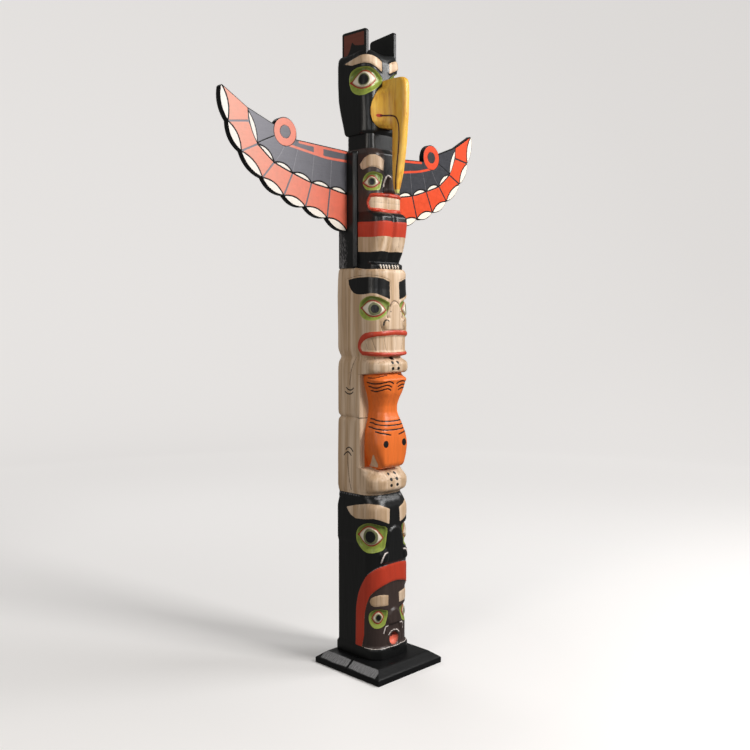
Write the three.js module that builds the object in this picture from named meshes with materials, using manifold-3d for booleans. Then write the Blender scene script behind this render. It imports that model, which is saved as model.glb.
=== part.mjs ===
// A carved and painted totem pole: a log of stacked figures on a base of two boards, with a beak,
// two wings and two ears made of separate pieces of wood. Millimetres, +Z up, the faces look along -Y,
// the origin is the centre of the base's underside.

import * as THREE from 'three';
import { ParametricGeometry } from 'three/addons/geometries/ParametricGeometry.js';
import * as BufferGeometryUtils from 'three/addons/utils/BufferGeometryUtils.js';
import Module from 'manifold-3d';

const wasm = await Module();
wasm.setup();

// Fits
const gap = 0.3;
const overrun = 5;

// Base boards
const boardThickness = 38;
const boardWidth = 140;
const boardLength = 280;
const boardSeam = 1;
const bevelRun = 28.5;
const bevelDrop = 21;

// Log: half widths, and how far the front and the back stand from the centre
const logHalfWidth = 80;
const logFront = 70;
const logBack = 97;
const logCornerRadius = 48;
const logBackRadius = 9;
const collarHeight = 34;
const collarProud = 4;

// Heights of the stacked figures
const lowerFaceHeight = 475;
const bearLegHeight = 236;
const bearArmHeight = 180;
const bearHeadHeight = 267;
const crouchHeight = 353;
const neckHeight = 50;
const birdHeadHeight = 237;

// Crouching figure and the slab behind it
const crouchHalfWidth = 67;
const crouchFaceFront = 43;
const crouchKneeFront = 67;
const crouchCornerRadius = 30;
const slabFront = 20;
const slabBack = 95;
const slabChamfer = 5;

// Bird's neck and head
const neckHalfWidth = 60;
const neckFront = 22;
const neckBack = 76;
const headHalfWidth = 75;
const headFront = 29;
const headBack = 105;
const headCornerRadius = 40;

// Depths of the carving: how deep a hollow is cut, and how far a raised part stands out
const socketDepth = 8;
const eyeballDepth = 3;
const shallowSocketDepth = 6;
const shallowEyeballDepth = 2;
const birdSocketDepth = 7;
const smallFieldDepth = 4;
const smallSocketDepth = 9;
const smallEyeballDepth = 5;
const browProud = 3;
const birdBrowProud = 2;
const noseProud = 7;
const smallNoseProud = 5;
const bearNoseProud = 4;
const crouchNoseProud = 10;
const lipProud = 4;
const bearLipProud = 3;
const bearTeethDepth = 4;
const crouchTeethDepth = 0.5;
const smallLipRadius = 29;
const smallLipProud = 1;
const smallMouthRadius = 19;
const smallMouthDepth = 12;
const creaseDepth = 3.5;
const creaseWidth = 4;
const kneeGrooveWidth = 7;
const notchDepth = 9;

// The space between the bear's arms and legs, and the fish held in it
const armFront = 4;
const recessHalf = 60;
const recessFloor = 4;
const fishWaistWidth = 84;
const fishHeadWidth = 146;
const fishTailWidth = 150;

// Beak
const beakThickness = 28;
const beakReach = 122;
const beakLength = 345;
const cheekHalfWidth = 56;

// Wings
const wingThickness = 19;
const wingSetback = 55.7;
const wingSweep = THREE.MathUtils.degToRad(1.7);
const wingSpan = 448;
const wingRootHeight = 240;
const wingTenon = 6;
const wingEyeRadius = 41;
const scallopRise = 12;

// Sizes at which the carvings and the wing's outline are drawn; they stretch with the sizes above
const drawn = {
  faceHeight: 475,
  legHeight: 236,
  armHeight: 180,
  bearHeadHeight: 267,
  crouchHeight: 353,
  birdHeadHeight: 237,
  logHalfWidth: 80,
  crouchHalfWidth: 67,
  headHalfWidth: 75,
  wingSpan: 448,
  wingRootHeight: 240,
};

// Ears
const earLength = 104;
const earHeight = 68;
const earThickness = 11;
const earInset = 10;
const earBackInset = 14;
const earCorner = 8;
const earTenon = 6;
const earBackDrop = 4;

// Fineness of the facets
const cornerSegments = 6;

// Solids from three.js geometries

function solidOf(geometry) {
  const bare = geometry.clone();
  bare.deleteAttribute('normal');
  bare.deleteAttribute('uv');
  const merged = BufferGeometryUtils.mergeVertices(bare, 1e-4);
  const index = merged.index.array;
  const kept = [];
  for (let i = 0; i < index.length; i += 3) {
    const [a, b, c] = [index[i], index[i + 1], index[i + 2]];
    if (a !== b && b !== c && c !== a) kept.push(a, b, c);
  }
  return new wasm.Manifold(new wasm.Mesh({
    numProp: 3,
    vertProperties: new Float32Array(merged.attributes.position.array),
    triVerts: new Uint32Array(kept),
  }));
}

function geometryOf(solid) {
  const mesh = solid.getMesh();
  const geometry = new THREE.BufferGeometry();
  geometry.setAttribute('position', new THREE.BufferAttribute(new Float32Array(mesh.vertProperties), 3));
  geometry.setIndex(new THREE.BufferAttribute(new Uint32Array(mesh.triVerts), 1));
  geometry.computeVertexNormals();
  return geometry;
}

// The same geometry on the other side of the plane X = 0, with its faces still pointing out.
function mirrored(geometry) {
  const twin = geometry.index ? geometry.toNonIndexed() : geometry.clone();
  twin.scale(-1, 1, 1);
  const place = twin.attributes.position.array;
  for (let i = 0; i < place.length; i += 9) {
    for (let k = 0; k < 3; k += 1) {
      const kept = place[i + k];
      place[i + k] = place[i + 3 + k];
      place[i + 3 + k] = kept;
    }
  }
  return twin;
}

// Frames for prisms: along Y from an outline in X and Z, and along X from an outline in Y and Z.
const frontFrame = new THREE.Matrix4().makeBasis(
  new THREE.Vector3(1, 0, 0), new THREE.Vector3(0, 0, 1), new THREE.Vector3(0, -1, 0));
const sideFrame = new THREE.Matrix4().makeBasis(
  new THREE.Vector3(0, 1, 0), new THREE.Vector3(0, 0, 1), new THREE.Vector3(1, 0, 0));

// Outlines

function points(pairs) {
  return pairs.map(([x, y]) => new THREE.Vector2(x, y));
}

function polygon(pairs) {
  return new THREE.Shape(points(pairs));
}

// A closed soft outline through a few points.
function softOutline(pairs, count) {
  const loop = new THREE.SplineCurve(points([...pairs, pairs[0]]));
  return new THREE.Shape(loop.getPoints(count).slice(0, count));
}

// An eye's outline: two arcs that meet in a corner at each end.
function lens(inner, outer, top, bottom, count = 5) {
  const shape = new THREE.Shape();
  const [innerX, innerZ] = inner;
  const [outerX, outerZ] = outer;
  const middle = (innerX + outerX) / 2;
  const upper = new THREE.QuadraticBezierCurve(
    new THREE.Vector2(innerX, innerZ),
    new THREE.Vector2(middle, 2 * top - (innerZ + outerZ) / 2),
    new THREE.Vector2(outerX, outerZ));
  const lower = new THREE.QuadraticBezierCurve(
    new THREE.Vector2(outerX, outerZ),
    new THREE.Vector2(middle, 2 * bottom - (innerZ + outerZ) / 2),
    new THREE.Vector2(innerX, innerZ));
  shape.setFromPoints([...upper.getPoints(count).slice(0, -1), ...lower.getPoints(count).slice(0, -1)]);
  return shape;
}

// A prism along a frame's third axis, centred on its origin, from an outline in its first two axes.
function prism(pairs, frame, depth) {
  const geometry = new THREE.ExtrudeGeometry(polygon(pairs), { depth, bevelEnabled: false });
  return solidOf(geometry.translate(0, 0, -depth / 2).applyMatrix4(frame));
}

// A prism from a plan, between two heights.
function planPrism(pairs, low, high) {
  const geometry = new THREE.ExtrudeGeometry(polygon(pairs), { depth: high - low, bevelEnabled: false });
  return solidOf(geometry.translate(0, 0, low));
}

// The log's section

// Points round the section: flat front and back, round front corners and eased back corners.
function sectionPoints({ half, front, back, radius, backRadius = logBackRadius }) {
  const ring = [];
  const corner = (x, y, r, from, segments) => {
    for (let i = 0; i <= segments; i += 1) {
      const angle = from + (Math.PI / 2) * (i / segments);
      ring.push([x + r * Math.cos(angle), y + r * Math.sin(angle)]);
    }
  };
  const quarter = Math.PI / 2;
  corner(half - backRadius, back - backRadius, backRadius, 0, 2);
  corner(-half + backRadius, back - backRadius, backRadius, quarter, 2);
  corner(-half + radius, -front + radius, radius, 2 * quarter, cornerSegments);
  corner(half - radius, -front + radius, radius, 3 * quarter, cornerSegments);
  return ring;
}

function sectionInset(section, depth) {
  return {
    half: section.half - depth,
    front: section.front - depth,
    back: section.back - depth,
    radius: Math.max(section.radius - depth, 3),
    backRadius: Math.max((section.backRadius ?? logBackRadius) - depth, 2),
  };
}

// A closed column through the sections of a list of levels, closed by a point at each end.
function column(levels) {
  const rings = levels.map((level) => sectionPoints(level));
  const count = rings[0].length;
  const stacks = rings.length + 1;
  const place = (u, v, target) => {
    const step = Math.round(v * stacks);
    const at = Math.round(u * count) % count;
    const row = Math.min(Math.max(step - 1, 0), rings.length - 1);
    const pole = step === 0 || step === stacks;
    const { front, back, z } = levels[row];
    if (pole) target.set(0, (back - front) / 2, z);
    else target.set(rings[row][at][0], rings[row][at][1], z);
  };
  return solidOf(new ParametricGeometry(place, count, stacks));
}

// Arc length round the front, from the centre of the face towards the side, to a place on the section.
function onSection({ half, front, radius }, across) {
  const flat = half - radius;
  const arc = (Math.PI / 2) * radius;
  const side = Math.sign(across) || 1;
  const along = Math.abs(across);
  if (along <= flat) return [side * along, -front];
  if (along <= flat + arc) {
    const angle = (along - flat) / radius;
    return [side * (flat + radius * Math.sin(angle)), -front + radius - radius * Math.cos(angle)];
  }
  return [side * half, -front + radius + along - flat - arc];
}

// A figure: its section, its foot and height, and the size at which its carving is drawn.
function figureOf(section, foot, height, drawnHeight, drawnHalf) {
  const tall = height / drawnHeight;
  const wide = section.half / drawnHalf;
  return { section, foot, height, rise: (up) => foot + up * tall, spread: (across) => across * wide };
}

// A straight-sided block with the outline of a carving that is drawn round the log's surface.
// It points along the normal at the angle `facing` from the front, on the +X side.
function stamp(figure, shape, facing, depth = 60, reach = 40) {
  const outward = new THREE.Vector3(Math.sin(facing), -Math.cos(facing), 0);
  const across = new THREE.Vector3(Math.cos(facing), Math.sin(facing), 0);
  const drawn = shape.getPoints(8).map(({ x, y }) => {
    const [px, py] = onSection(figure.section, figure.spread(x));
    return new THREE.Vector2(px * across.x + py * across.y, figure.rise(y));
  });
  const { half, front, radius } = figure.section;
  const core = new THREE.Vector3(half - radius, -front + radius, 0);
  const from = core.dot(outward) + radius - depth;
  const geometry = new THREE.ExtrudeGeometry(new THREE.Shape(drawn), {
    depth: depth + reach,
    bevelEnabled: false,
  });
  const frame = new THREE.Matrix4().makeBasis(across, new THREE.Vector3(0, 0, 1), outward);
  frame.setPosition(outward.clone().multiplyScalar(from));
  return geometry.applyMatrix4(frame);
}

// The log as far in as `depth` under the surface of a figure, over the figure's own height.
function coreOf(figure, depth) {
  const ring = sectionPoints(sectionInset(figure.section, depth));
  return planPrism(ring, figure.foot - overrun, figure.foot + figure.height + overrun);
}

// Directions a carving is cut from: the front, the corner and the side of the log
const straightOn = 0;
const cornerwise = Math.PI / 4;
const sideways = Math.PI / 2;

function bothSides(geometry) {
  return solidOf(geometry).add(solidOf(mirrored(geometry)));
}

// Cuts an outline `depth` into the surface, on both sides of the face.
function carve(solid, figure, shape, depth, facing = cornerwise) {
  const block = bothSides(stamp(figure, shape, facing));
  return solid.subtract(block.subtract(coreOf(figure, depth)));
}

// Leaves an outline standing `height` over the surface; a negative height stands in a carved field.
function raise(solid, figure, shape, height, facing = cornerwise) {
  const block = bothSides(stamp(figure, shape, facing));
  return solid.add(block.intersect(coreOf(figure, -height)));
}

// An eye: a carved socket with the almond of the eyeball left standing in it.
function eye(solid, figure, { socket, almond }, depth = socketDepth, ball = eyeballDepth) {
  const carved = carve(solid, figure, softOutline(socket, 14), depth);
  return raise(carved, figure, almond, -ball);
}

// The log, from the foot up. Every figure stands on the one below it.

const logFoot = boardThickness + gap;
const faceFoot = logFoot + collarHeight;
const legFoot = faceFoot + lowerFaceHeight;
const armFoot = legFoot + bearLegHeight;
const bearFaceFoot = armFoot + bearArmHeight;
const crouchFoot = bearFaceFoot + bearHeadHeight;
const neckFoot = crouchFoot + crouchHeight;
const headFoot = neckFoot + neckHeight;
const headTop = headFoot + birdHeadHeight;

const logSection = { half: logHalfWidth, front: logFront, back: logBack, radius: logCornerRadius };
const crouchSection = {
  half: crouchHalfWidth,
  front: crouchFaceFront,
  back: slabBack - 2,
  radius: crouchCornerRadius,
};
const headSection = { half: headHalfWidth, front: headFront, back: headBack, radius: headCornerRadius };

const { logHalfWidth: logDrawn } = drawn;
const lowerFace = figureOf(logSection, faceFoot, lowerFaceHeight, drawn.faceHeight, logDrawn);
const bearLegs = figureOf(logSection, legFoot, bearLegHeight, drawn.legHeight, logDrawn);
const bearArms = figureOf(logSection, armFoot, bearArmHeight, drawn.armHeight, logDrawn);
const bearFace = figureOf(logSection, bearFaceFoot, bearHeadHeight, drawn.bearHeadHeight, logDrawn);
const crouch = figureOf(crouchSection, crouchFoot, crouchHeight, drawn.crouchHeight, drawn.crouchHalfWidth);
const birdHead = figureOf(headSection, headFoot, birdHeadHeight, drawn.birdHeadHeight, drawn.headHalfWidth);

// A level of a figure's column: how far the sides and the front are cut in, and how much rounder it gets.
function level(figure, up, side = 0, front = side, softer = 0) {
  const { section } = figure;
  return {
    half: section.half - side,
    front: section.front - front,
    back: section.back - side,
    radius: section.radius + softer,
    z: figure.rise(up),
  };
}

function lowerColumn() {
  const collar = sectionInset(logSection, -collarProud);
  const rows = (figure, list) => list.map((row) => level(figure, ...row));
  return column([
    { ...collar, z: logFoot },
    { ...collar, z: faceFoot - 5 },
    ...rows(lowerFace, [
      [0, -1], [6], [436], [449, 1, 3], [462, 2, 8], [475, 3, 16, 6],
    ]),
    ...rows(bearLegs, [
      [3, 3, 16, 6], [8, 2, 10, 3], [13, 1, 2], [18],
      [43], [50, 0, 2], [57, 0, 5], [64, 0, 10], [71, 0, 16], [79, 0, 24], [80],
      [224], [231, 1.5, 2], [236, 5, 6],
    ]),
    ...rows(bearArms, [
      [6, 1.5, 2], [12], [129], [132, 0, 9], [138, 0, 1], [144, 0, -3], [160, 0, -3],
      [170, 2, 1], [176, 4, 6], [180, notchDepth - 2, notchDepth + 3, 2],
    ]),
    ...rows(bearFace, [
      [4, notchDepth - 2, notchDepth + 3, 2], [8, 5, 2], [14, 2, 0], [20],
      [255], [263, 1.5], [267, 5],
    ]),
  ]);
}

// The crouching figure: feet, shins that lean out to the knees, and the face above them.
function crouchColumn() {
  const lean = (up, front, narrow = 0) => ({
    ...crouchSection,
    half: crouchSection.half - narrow,
    front,
    radius: Math.min(crouchSection.radius, front * 0.6),
    z: crouch.rise(up),
  });
  const kneeFront = crouchKneeFront;
  const faceFront = crouchFaceFront;
  return column([
    { ...lean(0, kneeFront - 13), z: crouchFoot - overrun },
    lean(13, kneeFront - 14),
    lean(17, kneeFront - 31, 2),
    lean(49, kneeFront - 17, 1),
    lean(94, kneeFront - 6),
    lean(139, kneeFront),
    lean(156, kneeFront - 2),
    lean(166, kneeFront - 11, 2),
    lean(171, faceFront),
    lean(345, faceFront),
    lean(353, faceFront - 8, 4),
  ]);
}

// The upright slab behind the crouching figure, which carries the wings.
function slab() {
  const half = logHalfWidth;
  return planPrism([
    [half, slabBack],
    [-half, slabBack],
    [-half, slabFront + slabChamfer],
    [-half + slabChamfer, slabFront],
    [half - slabChamfer, slabFront],
    [half, slabFront + slabChamfer],
  ], crouchFoot - overrun, neckFoot);
}

function neckAndHead() {
  const neck = { half: neckHalfWidth, front: neckFront, back: neckBack, radius: headCornerRadius * 0.6 };
  const at = (up, half, back) => ({ ...headSection, half, back, z: birdHead.rise(up) });
  return column([
    { ...neck, z: neckFoot - overrun },
    { ...neck, z: headFoot },
    { ...sectionInset(headSection, 4), back: headBack - 25, z: headFoot + 1 },
    at(7, headHalfWidth - 4, headBack - 24),
    at(47, headHalfWidth - 2, headBack - 15),
    at(107, headHalfWidth, headBack - 2),
    at(157, headHalfWidth, headBack),
    at(229, headHalfWidth, headBack),
    { ...sectionInset(headSection, 4), z: headTop },
  ]);
}

// Carving of the lower face, with the small face inside its red arch

function archOutline(reach, top, shoulder) {
  const shape = new THREE.Shape();
  shape.moveTo(-10, -2);
  shape.lineTo(reach, -2);
  shape.lineTo(reach - 3, shoulder);
  shape.bezierCurveTo(reach - 10, shoulder + 52, reach * 0.62, top, 14, top);
  shape.lineTo(-10, top);
  return shape;
}

function carveLowerFace(solid) {
  let work = eye(solid, lowerFace, {
    socket: [
      [41, 372], [57, 383], [80, 389], [100, 388], [120, 378], [137, 365], [142, 350],
      [138, 325], [124, 309], [104, 300], [84, 298], [64, 303], [44, 310],
    ],
    almond: lens([46, 348], [137, 348], 380, 320),
  });
  // The field of the small face lies lower than the arch round it.
  work = carve(work, lowerFace, archOutline(114, 204, 110), smallFieldDepth);
  work = raise(work, lowerFace, polygon([
    [-8, 258], [8, 258], [43, 266], [44, 310], [42, 328], [32, 362], [14, 375], [8, 377], [-8, 377],
  ]), noseProud, straightOn);
  work = eye(work, lowerFace, {
    socket: [
      [22, 116], [40, 122], [58, 123], [77, 120], [91, 108], [94, 93], [88, 76],
      [76, 66], [60, 64], [45, 68], [32, 77],
    ],
    almond: lens([34, 100], [84, 96], 113, 81),
  }, smallSocketDepth, smallEyeballDepth);
  work = raise(work, lowerFace, polygon([
    [-8, 60], [20, 60], [34, 65], [38, 75], [27, 90], [17, 112], [8, 121], [-8, 121],
  ]), smallNoseProud, straightOn);
  return work;
}

// The open mouth of the small face: a raised round rim with a hollow in it.
function smallMouth(solid) {
  const disc = (radius, inwards, outwards) => {
    const geometry = new THREE.CylinderGeometry(radius, radius, inwards + outwards, 20);
    return solidOf(geometry.translate(0, -logFront + (inwards - outwards) / 2, lowerFace.rise(23)));
  };
  return solid.add(disc(smallLipRadius, smallMouthDepth, smallLipProud))
    .subtract(disc(smallMouthRadius, smallMouthDepth, overrun));
}

// Carving of the bear: face, arms round a fish, and legs

function bearMouthOutline(outer) {
  const shape = new THREE.Shape();
  const [reach, top, bottom] = outer ? [137, 80, 8] : [124, 67, 20];
  const bend = outer ? 36 : 30;
  shape.moveTo(-8, bottom);
  shape.lineTo(reach - bend + 6, bottom);
  shape.quadraticCurveTo(reach, bottom + 2, reach, (top + bottom) / 2 - 4);
  shape.quadraticCurveTo(reach - 4, top - 4, reach - bend - 24, top);
  shape.lineTo(-8, top);
  return shape;
}

function carveBearFace(solid) {
  let work = eye(solid, bearFace, {
    socket: [
      [25, 161], [46, 175], [67, 182], [82, 184], [97, 182], [117, 172], [127, 160],
      [129, 147], [125, 132], [112, 121], [97, 116], [82, 115], [67, 120], [52, 127], [37, 138],
    ],
    almond: lens([37, 147], [122, 149], 175, 125),
  }, shallowSocketDepth, shallowEyeballDepth);
  work = raise(work, bearFace, polygon([
    [-8, 82], [50, 82], [54, 100], [50, 117], [40, 120], [30, 127], [28, 147], [17, 161], [8, 166], [-8, 166],
  ]), bearNoseProud, straightOn);
  work = raise(work, bearFace, bearMouthOutline(true), bearLipProud);
  return carve(work, bearFace, bearMouthOutline(false), bearTeethDepth);
}

// A narrow groove along a line on the side of the log.
function crease(solid, figure, line) {
  const path = points(line);
  const left = path.map(({ x, y }) => [x - creaseWidth / 2, y]);
  const right = path.map(({ x, y }) => [x + creaseWidth / 2, y]).reverse();
  return carve(solid, figure, polygon([...left, ...right]), creaseDepth, sideways);
}

// The space between the arms and the legs, cut back to their front faces and deeper behind the fish.
const fishFoot = bearLegs.rise(79);
const fishTop = bearArms.rise(131);
const fishHeight = fishTop - fishFoot;

function cutRecess(solid) {
  const box = (half, back) => {
    const depth = logFront + overrun + back;
    const geometry = new THREE.BoxGeometry(2 * half, depth, fishHeight);
    return solidOf(geometry.translate(0, back - depth / 2, fishFoot + fishHeight / 2));
  };
  return solid.subtract(box(logHalfWidth + overrun, -armFront)).subtract(box(recessHalf, recessFloor));
}

// The fish held upside down in the bear's paws: head below, waist in the middle and tail above.
function fish() {
  const part = (share, width, front, radius) => ({
    half: width / 2,
    front,
    back: 12,
    radius,
    backRadius: 3,
    z: fishFoot + share * fishHeight,
  });
  return column([
    part(-0.02, fishHeadWidth * 0.5, logFront - 12, 26),
    part(0.05, fishHeadWidth * 0.66, logFront - 6, 34),
    part(0.15, fishHeadWidth * 0.88, logFront + 2, 46),
    part(0.27, fishHeadWidth, logFront + 5, 48),
    part(0.37, fishHeadWidth * 0.97, logFront, 46),
    part(0.47, fishHeadWidth * 0.82, logFront - 6, 38),
    part(0.55, fishWaistWidth * 1.12, logFront - 13, 27),
    part(0.63, fishWaistWidth, logFront - 16, 24),
    part(0.72, fishWaistWidth * 1.06, logFront - 14, 25),
    part(0.82, fishTailWidth * 0.76, logFront - 2, 32),
    part(0.92, fishTailWidth, logFront + 7, 42),
    part(0.96, fishTailWidth * 0.97, logFront + 3, 44),
    part(1.03, fishTailWidth * 0.94, logFront - 9, 44),
  ]);
}

function carveBearBody(solid) {
  let work = cutRecess(solid).add(fish());
  work = crease(work, bearArms, [[152, 180], [157, 167], [164, 152], [170, 132], [176, 92]]);
  return crease(work, bearLegs, [[183, 121], [181, 83], [176, 43], [170, 12]]);
}

// Carving of the crouching figure

function kneeGroove() {
  const front = -crouchKneeFront;
  const profile = [
    [front - overrun, 15], [front - overrun, 170], [front + 20, 170], [front + 7, 155],
    [front + 7, 139], [front + 13, 94], [front + 24, 49], [front + 39, 15],
  ].map(([y, up]) => [y, crouch.rise(up)]);
  return prism(profile, sideFrame, kneeGrooveWidth);
}

function crouchMouthOutline(outer) {
  const [reach, top, bottom] = outer ? [82, 225, 173] : [74, 214, 182];
  const bend = (top - bottom) / 2;
  const shape = new THREE.Shape();
  shape.moveTo(-8, bottom);
  shape.lineTo(reach - bend, bottom);
  shape.absarc(reach - bend, bottom + bend, bend, -Math.PI / 2, Math.PI / 2, false);
  shape.lineTo(-8, top);
  return shape;
}

function carveCrouch(solid) {
  let work = eye(solid.subtract(kneeGroove()), crouch, {
    socket: [
      [23, 279], [35, 285], [57, 287], [76, 285], [92, 276], [98, 263], [95, 248],
      [85, 237], [67, 233], [35, 237], [24, 258],
    ],
    almond: lens([36, 257], [93, 259], 279, 241),
  }, shallowSocketDepth, shallowEyeballDepth);
  work = raise(work, crouch, softOutline([
    [14, 325], [35, 334], [55, 339], [72, 338], [92, 330], [109, 314], [104, 299],
    [90, 298], [72, 302], [57, 303], [41, 299], [18, 293],
  ], 14), browProud);
  work = raise(work, crouch, polygon([
    [-8, 226], [27, 226], [25, 256], [14, 275], [7, 280], [-8, 280],
  ]), crouchNoseProud, straightOn);
  work = raise(work, crouch, crouchMouthOutline(true), lipProud);
  return carve(work, crouch, crouchMouthOutline(false), crouchTeethDepth);
}

// Carving of the bird's head

function carveBirdHead(solid) {
  const work = eye(solid, birdHead, {
    socket: [
      [13, 156], [35, 134], [58, 120], [79, 112], [100, 114], [120, 126], [132, 144],
      [136, 164], [130, 184], [115, 194], [90, 197], [58, 196], [23, 175],
    ],
    almond: lens([36, 158], [128, 156], 183, 133),
  }, birdSocketDepth);
  return raise(work, birdHead, softOutline([
    [16, 222], [28, 230], [47, 233], [86, 234], [120, 227], [150, 217],
    [120, 205], [75, 207], [55, 203], [35, 194], [16, 189],
  ], 16), birdBrowProud);
}

// Beak

const beakTop = birdHead.rise(166);
const beakBottom = birdHead.rise(16);

function twoSided(pairs) {
  return [...pairs, ...pairs.slice().reverse().map(([x, y]) => [-x, y])];
}

function beak() {
  const half = beakThickness / 2;
  const reach = beakReach;
  const drop = (share) => beakTop - share * beakLength;
  const side = prism([
    [0, drop(0)], [-reach + 14, drop(0)], [-reach + 4, drop(0.03)], [-reach, drop(0.12)],
    [-reach + 1, drop(0.3)], [-reach + 5, drop(0.45)], [-reach + 10, drop(0.6)], [-reach + 17, drop(0.73)],
    [-reach + 25, drop(0.84)], [-reach + 34, drop(0.93)], [-reach + 40, drop(0.99)], [-reach + 43, drop(1)],
    [-reach + 49, drop(0.97)], [-reach + 50, drop(0.88)], [-reach + 51, drop(0.7)],
    [-reach + 51, beakBottom], [0, beakBottom],
  ], sideFrame, 3 * cheekHalfWidth);
  const cheek = cheekHalfWidth;
  const front = prism(twoSided([
    [half * 0.7, drop(0)], [half + 3, drop(0.02)], [half * 2, drop(0.1)], [cheek * 0.76, drop(0.15)],
    [cheek * 0.9, drop(0.205)], [cheek, drop(0.27)], [cheek * 0.98, drop(0.33)], [cheek * 0.88, drop(0.385)],
    [cheek * 0.62, drop(0.42)], [half, beakBottom], [half, drop(0.7)], [half * 0.8, drop(0.88)],
    [half * 0.4, drop(0.98)], [half * 0.25, drop(1)],
  ]), frontFrame, 3 * reach);
  const upper = planPrism(twoSided([
    [half * 0.35, -reach], [half * 0.85, -reach + 4], [half, -reach + 12], [half + 3, -reach + 38],
    [half + 8, -reach + 54], [half + 14, -reach + 60], [cheek * 0.76, -reach + 78], [cheek, -reach + 98],
    [cheek + 2, 10],
  ]), beakBottom, beakTop);
  const lower = planPrism(twoSided([
    [half * 0.35, -reach], [half * 0.85, -reach + 4], [half, -reach + 12], [half, -reach + 56],
  ]), drop(1) - overrun, beakBottom + 1);
  return side.intersect(front).intersect(upper.add(lower)).subtract(coreOf(birdHead, -gap));
}

// Wings: one board each, drawn from the root outwards, with a scalloped lower edge and a round eye on top

const wingWide = wingSpan / drawn.wingSpan;
const wingTall = wingRootHeight / drawn.wingRootHeight;
const wingFoot = crouch.rise(116);
const feathers = [[0, 0], [78, 35], [161, 61], [240, 87], [314, 130], [385, 195], [428, 271], [448, 367]];

function wingOutline() {
  const at = ([x, up]) => [x * wingWide, up * wingTall];
  const shape = new THREE.Shape();
  shape.moveTo(-wingTenon, 0);
  shape.lineTo(0, 0);
  for (let i = 1; i < feathers.length; i += 1) {
    const [x0, z0] = at(feathers[i - 1]);
    const [x1, z1] = at(feathers[i]);
    const length = Math.hypot(x1 - x0, z1 - z0);
    const swell = 2 * scallopRise / length;
    shape.quadraticCurveTo((x0 + x1) / 2 + (z1 - z0) * swell, (z0 + z1) / 2 - (x1 - x0) * swell, x1, z1);
  }
  const [eyeX, eyeZ] = at([233, 267]);
  shape.lineTo(...at([362, 317]));
  const from = Math.asin((17 * wingTall) / wingEyeRadius);
  const to = Math.PI + Math.asin((16 * wingTall) / wingEyeRadius);
  shape.absarc(eyeX, eyeZ, wingEyeRadius, from, to, false);
  shape.lineTo(0, wingRootHeight);
  shape.lineTo(-wingTenon, wingRootHeight);
  return shape;
}

// The wing's own frame: X from the slab's side outwards, Z up from the root, Y back from its front face.
function wingGeometry() {
  const geometry = new THREE.ExtrudeGeometry(wingOutline(), {
    depth: wingThickness,
    bevelEnabled: false,
    curveSegments: 6,
  });
  return geometry.rotateX(Math.PI / 2).translate(0, wingThickness, 0);
}

const wingPlace = new THREE.Vector3(logHalfWidth, wingSetback, wingFoot);

function wingHousings() {
  const depth = wingTenon + gap;
  const geometry = new THREE.BoxGeometry(depth + overrun, wingThickness + 2 * gap, wingRootHeight + 2 * gap);
  geometry.translate((overrun - depth) / 2, wingThickness / 2, wingRootHeight / 2);
  geometry.rotateZ(wingSweep).translate(wingPlace.x, wingPlace.y, wingPlace.z);
  return bothSides(geometry);
}

// Ears: boards on edge on top of the head

const earPlace = new THREE.Vector3(headHalfWidth - earInset, headBack - earBackInset, headTop - earTenon);

// The ear's own frame starts at the back lower corner of its outer face.
function earGeometry() {
  const shape = new THREE.Shape();
  const top = earTenon + earHeight;
  const backTop = top - earBackDrop;
  shape.moveTo(0, 0);
  shape.lineTo(earLength, 0);
  shape.lineTo(earLength, top - earCorner);
  shape.absarc(earLength - earCorner, top - earCorner, earCorner, 0, Math.PI / 2, false);
  shape.lineTo(earCorner, backTop);
  shape.absarc(earCorner, backTop - earCorner, earCorner, Math.PI / 2, Math.PI, false);
  const geometry = new THREE.ExtrudeGeometry(shape, {
    depth: earThickness,
    bevelEnabled: false,
    curveSegments: 4,
  });
  const frame = new THREE.Matrix4().makeBasis(
    new THREE.Vector3(0, -1, 0), new THREE.Vector3(0, 0, 1), new THREE.Vector3(-1, 0, 0));
  return geometry.applyMatrix4(frame);
}

function earHousings() {
  const size = [earThickness + 2 * gap, earLength + 2 * gap, earTenon + gap + overrun];
  const geometry = new THREE.BoxGeometry(...size);
  geometry.translate(-earThickness / 2, -earLength / 2, size[2] / 2 - gap);
  return bothSides(geometry.translate(earPlace.x, earPlace.y, earPlace.z));
}

// The log, carved

function log() {
  let solid = lowerColumn().add(slab()).add(crouchColumn()).add(neckAndHead());
  solid = smallMouth(carveLowerFace(solid));
  solid = carveBearFace(carveBearBody(solid));
  solid = carveBirdHead(carveCrouch(solid));
  return solid.subtract(wingHousings()).subtract(earHousings());
}

// Base: two boards side by side, bevelled round the top of the pair

function baseBlank() {
  const straight = boardThickness - bevelDrop;
  const block = new THREE.BoxGeometry(boardLength, 2 * boardWidth, straight).translate(0, 0, straight / 2);
  const top = (boardLength / 2 - bevelRun) * Math.SQRT2;
  const bevel = new THREE.CylinderGeometry(top, (boardLength / 2) * Math.SQRT2, bevelDrop, 4);
  bevel.rotateX(Math.PI / 2).rotateZ(Math.PI / 4).scale(1, (2 * boardWidth) / boardLength, 1);
  bevel.translate(0, 0, straight + bevelDrop / 2);
  return solidOf(block).add(solidOf(bevel));
}

function board(side) {
  const width = boardWidth - boardSeam / 2;
  const box = new THREE.BoxGeometry(boardLength, width, boardThickness);
  box.translate(0, side * (boardSeam + width) / 2, boardThickness / 2);
  return baseBlank().intersect(solidOf(box));
}

// The whole object, each piece in its place

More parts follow.
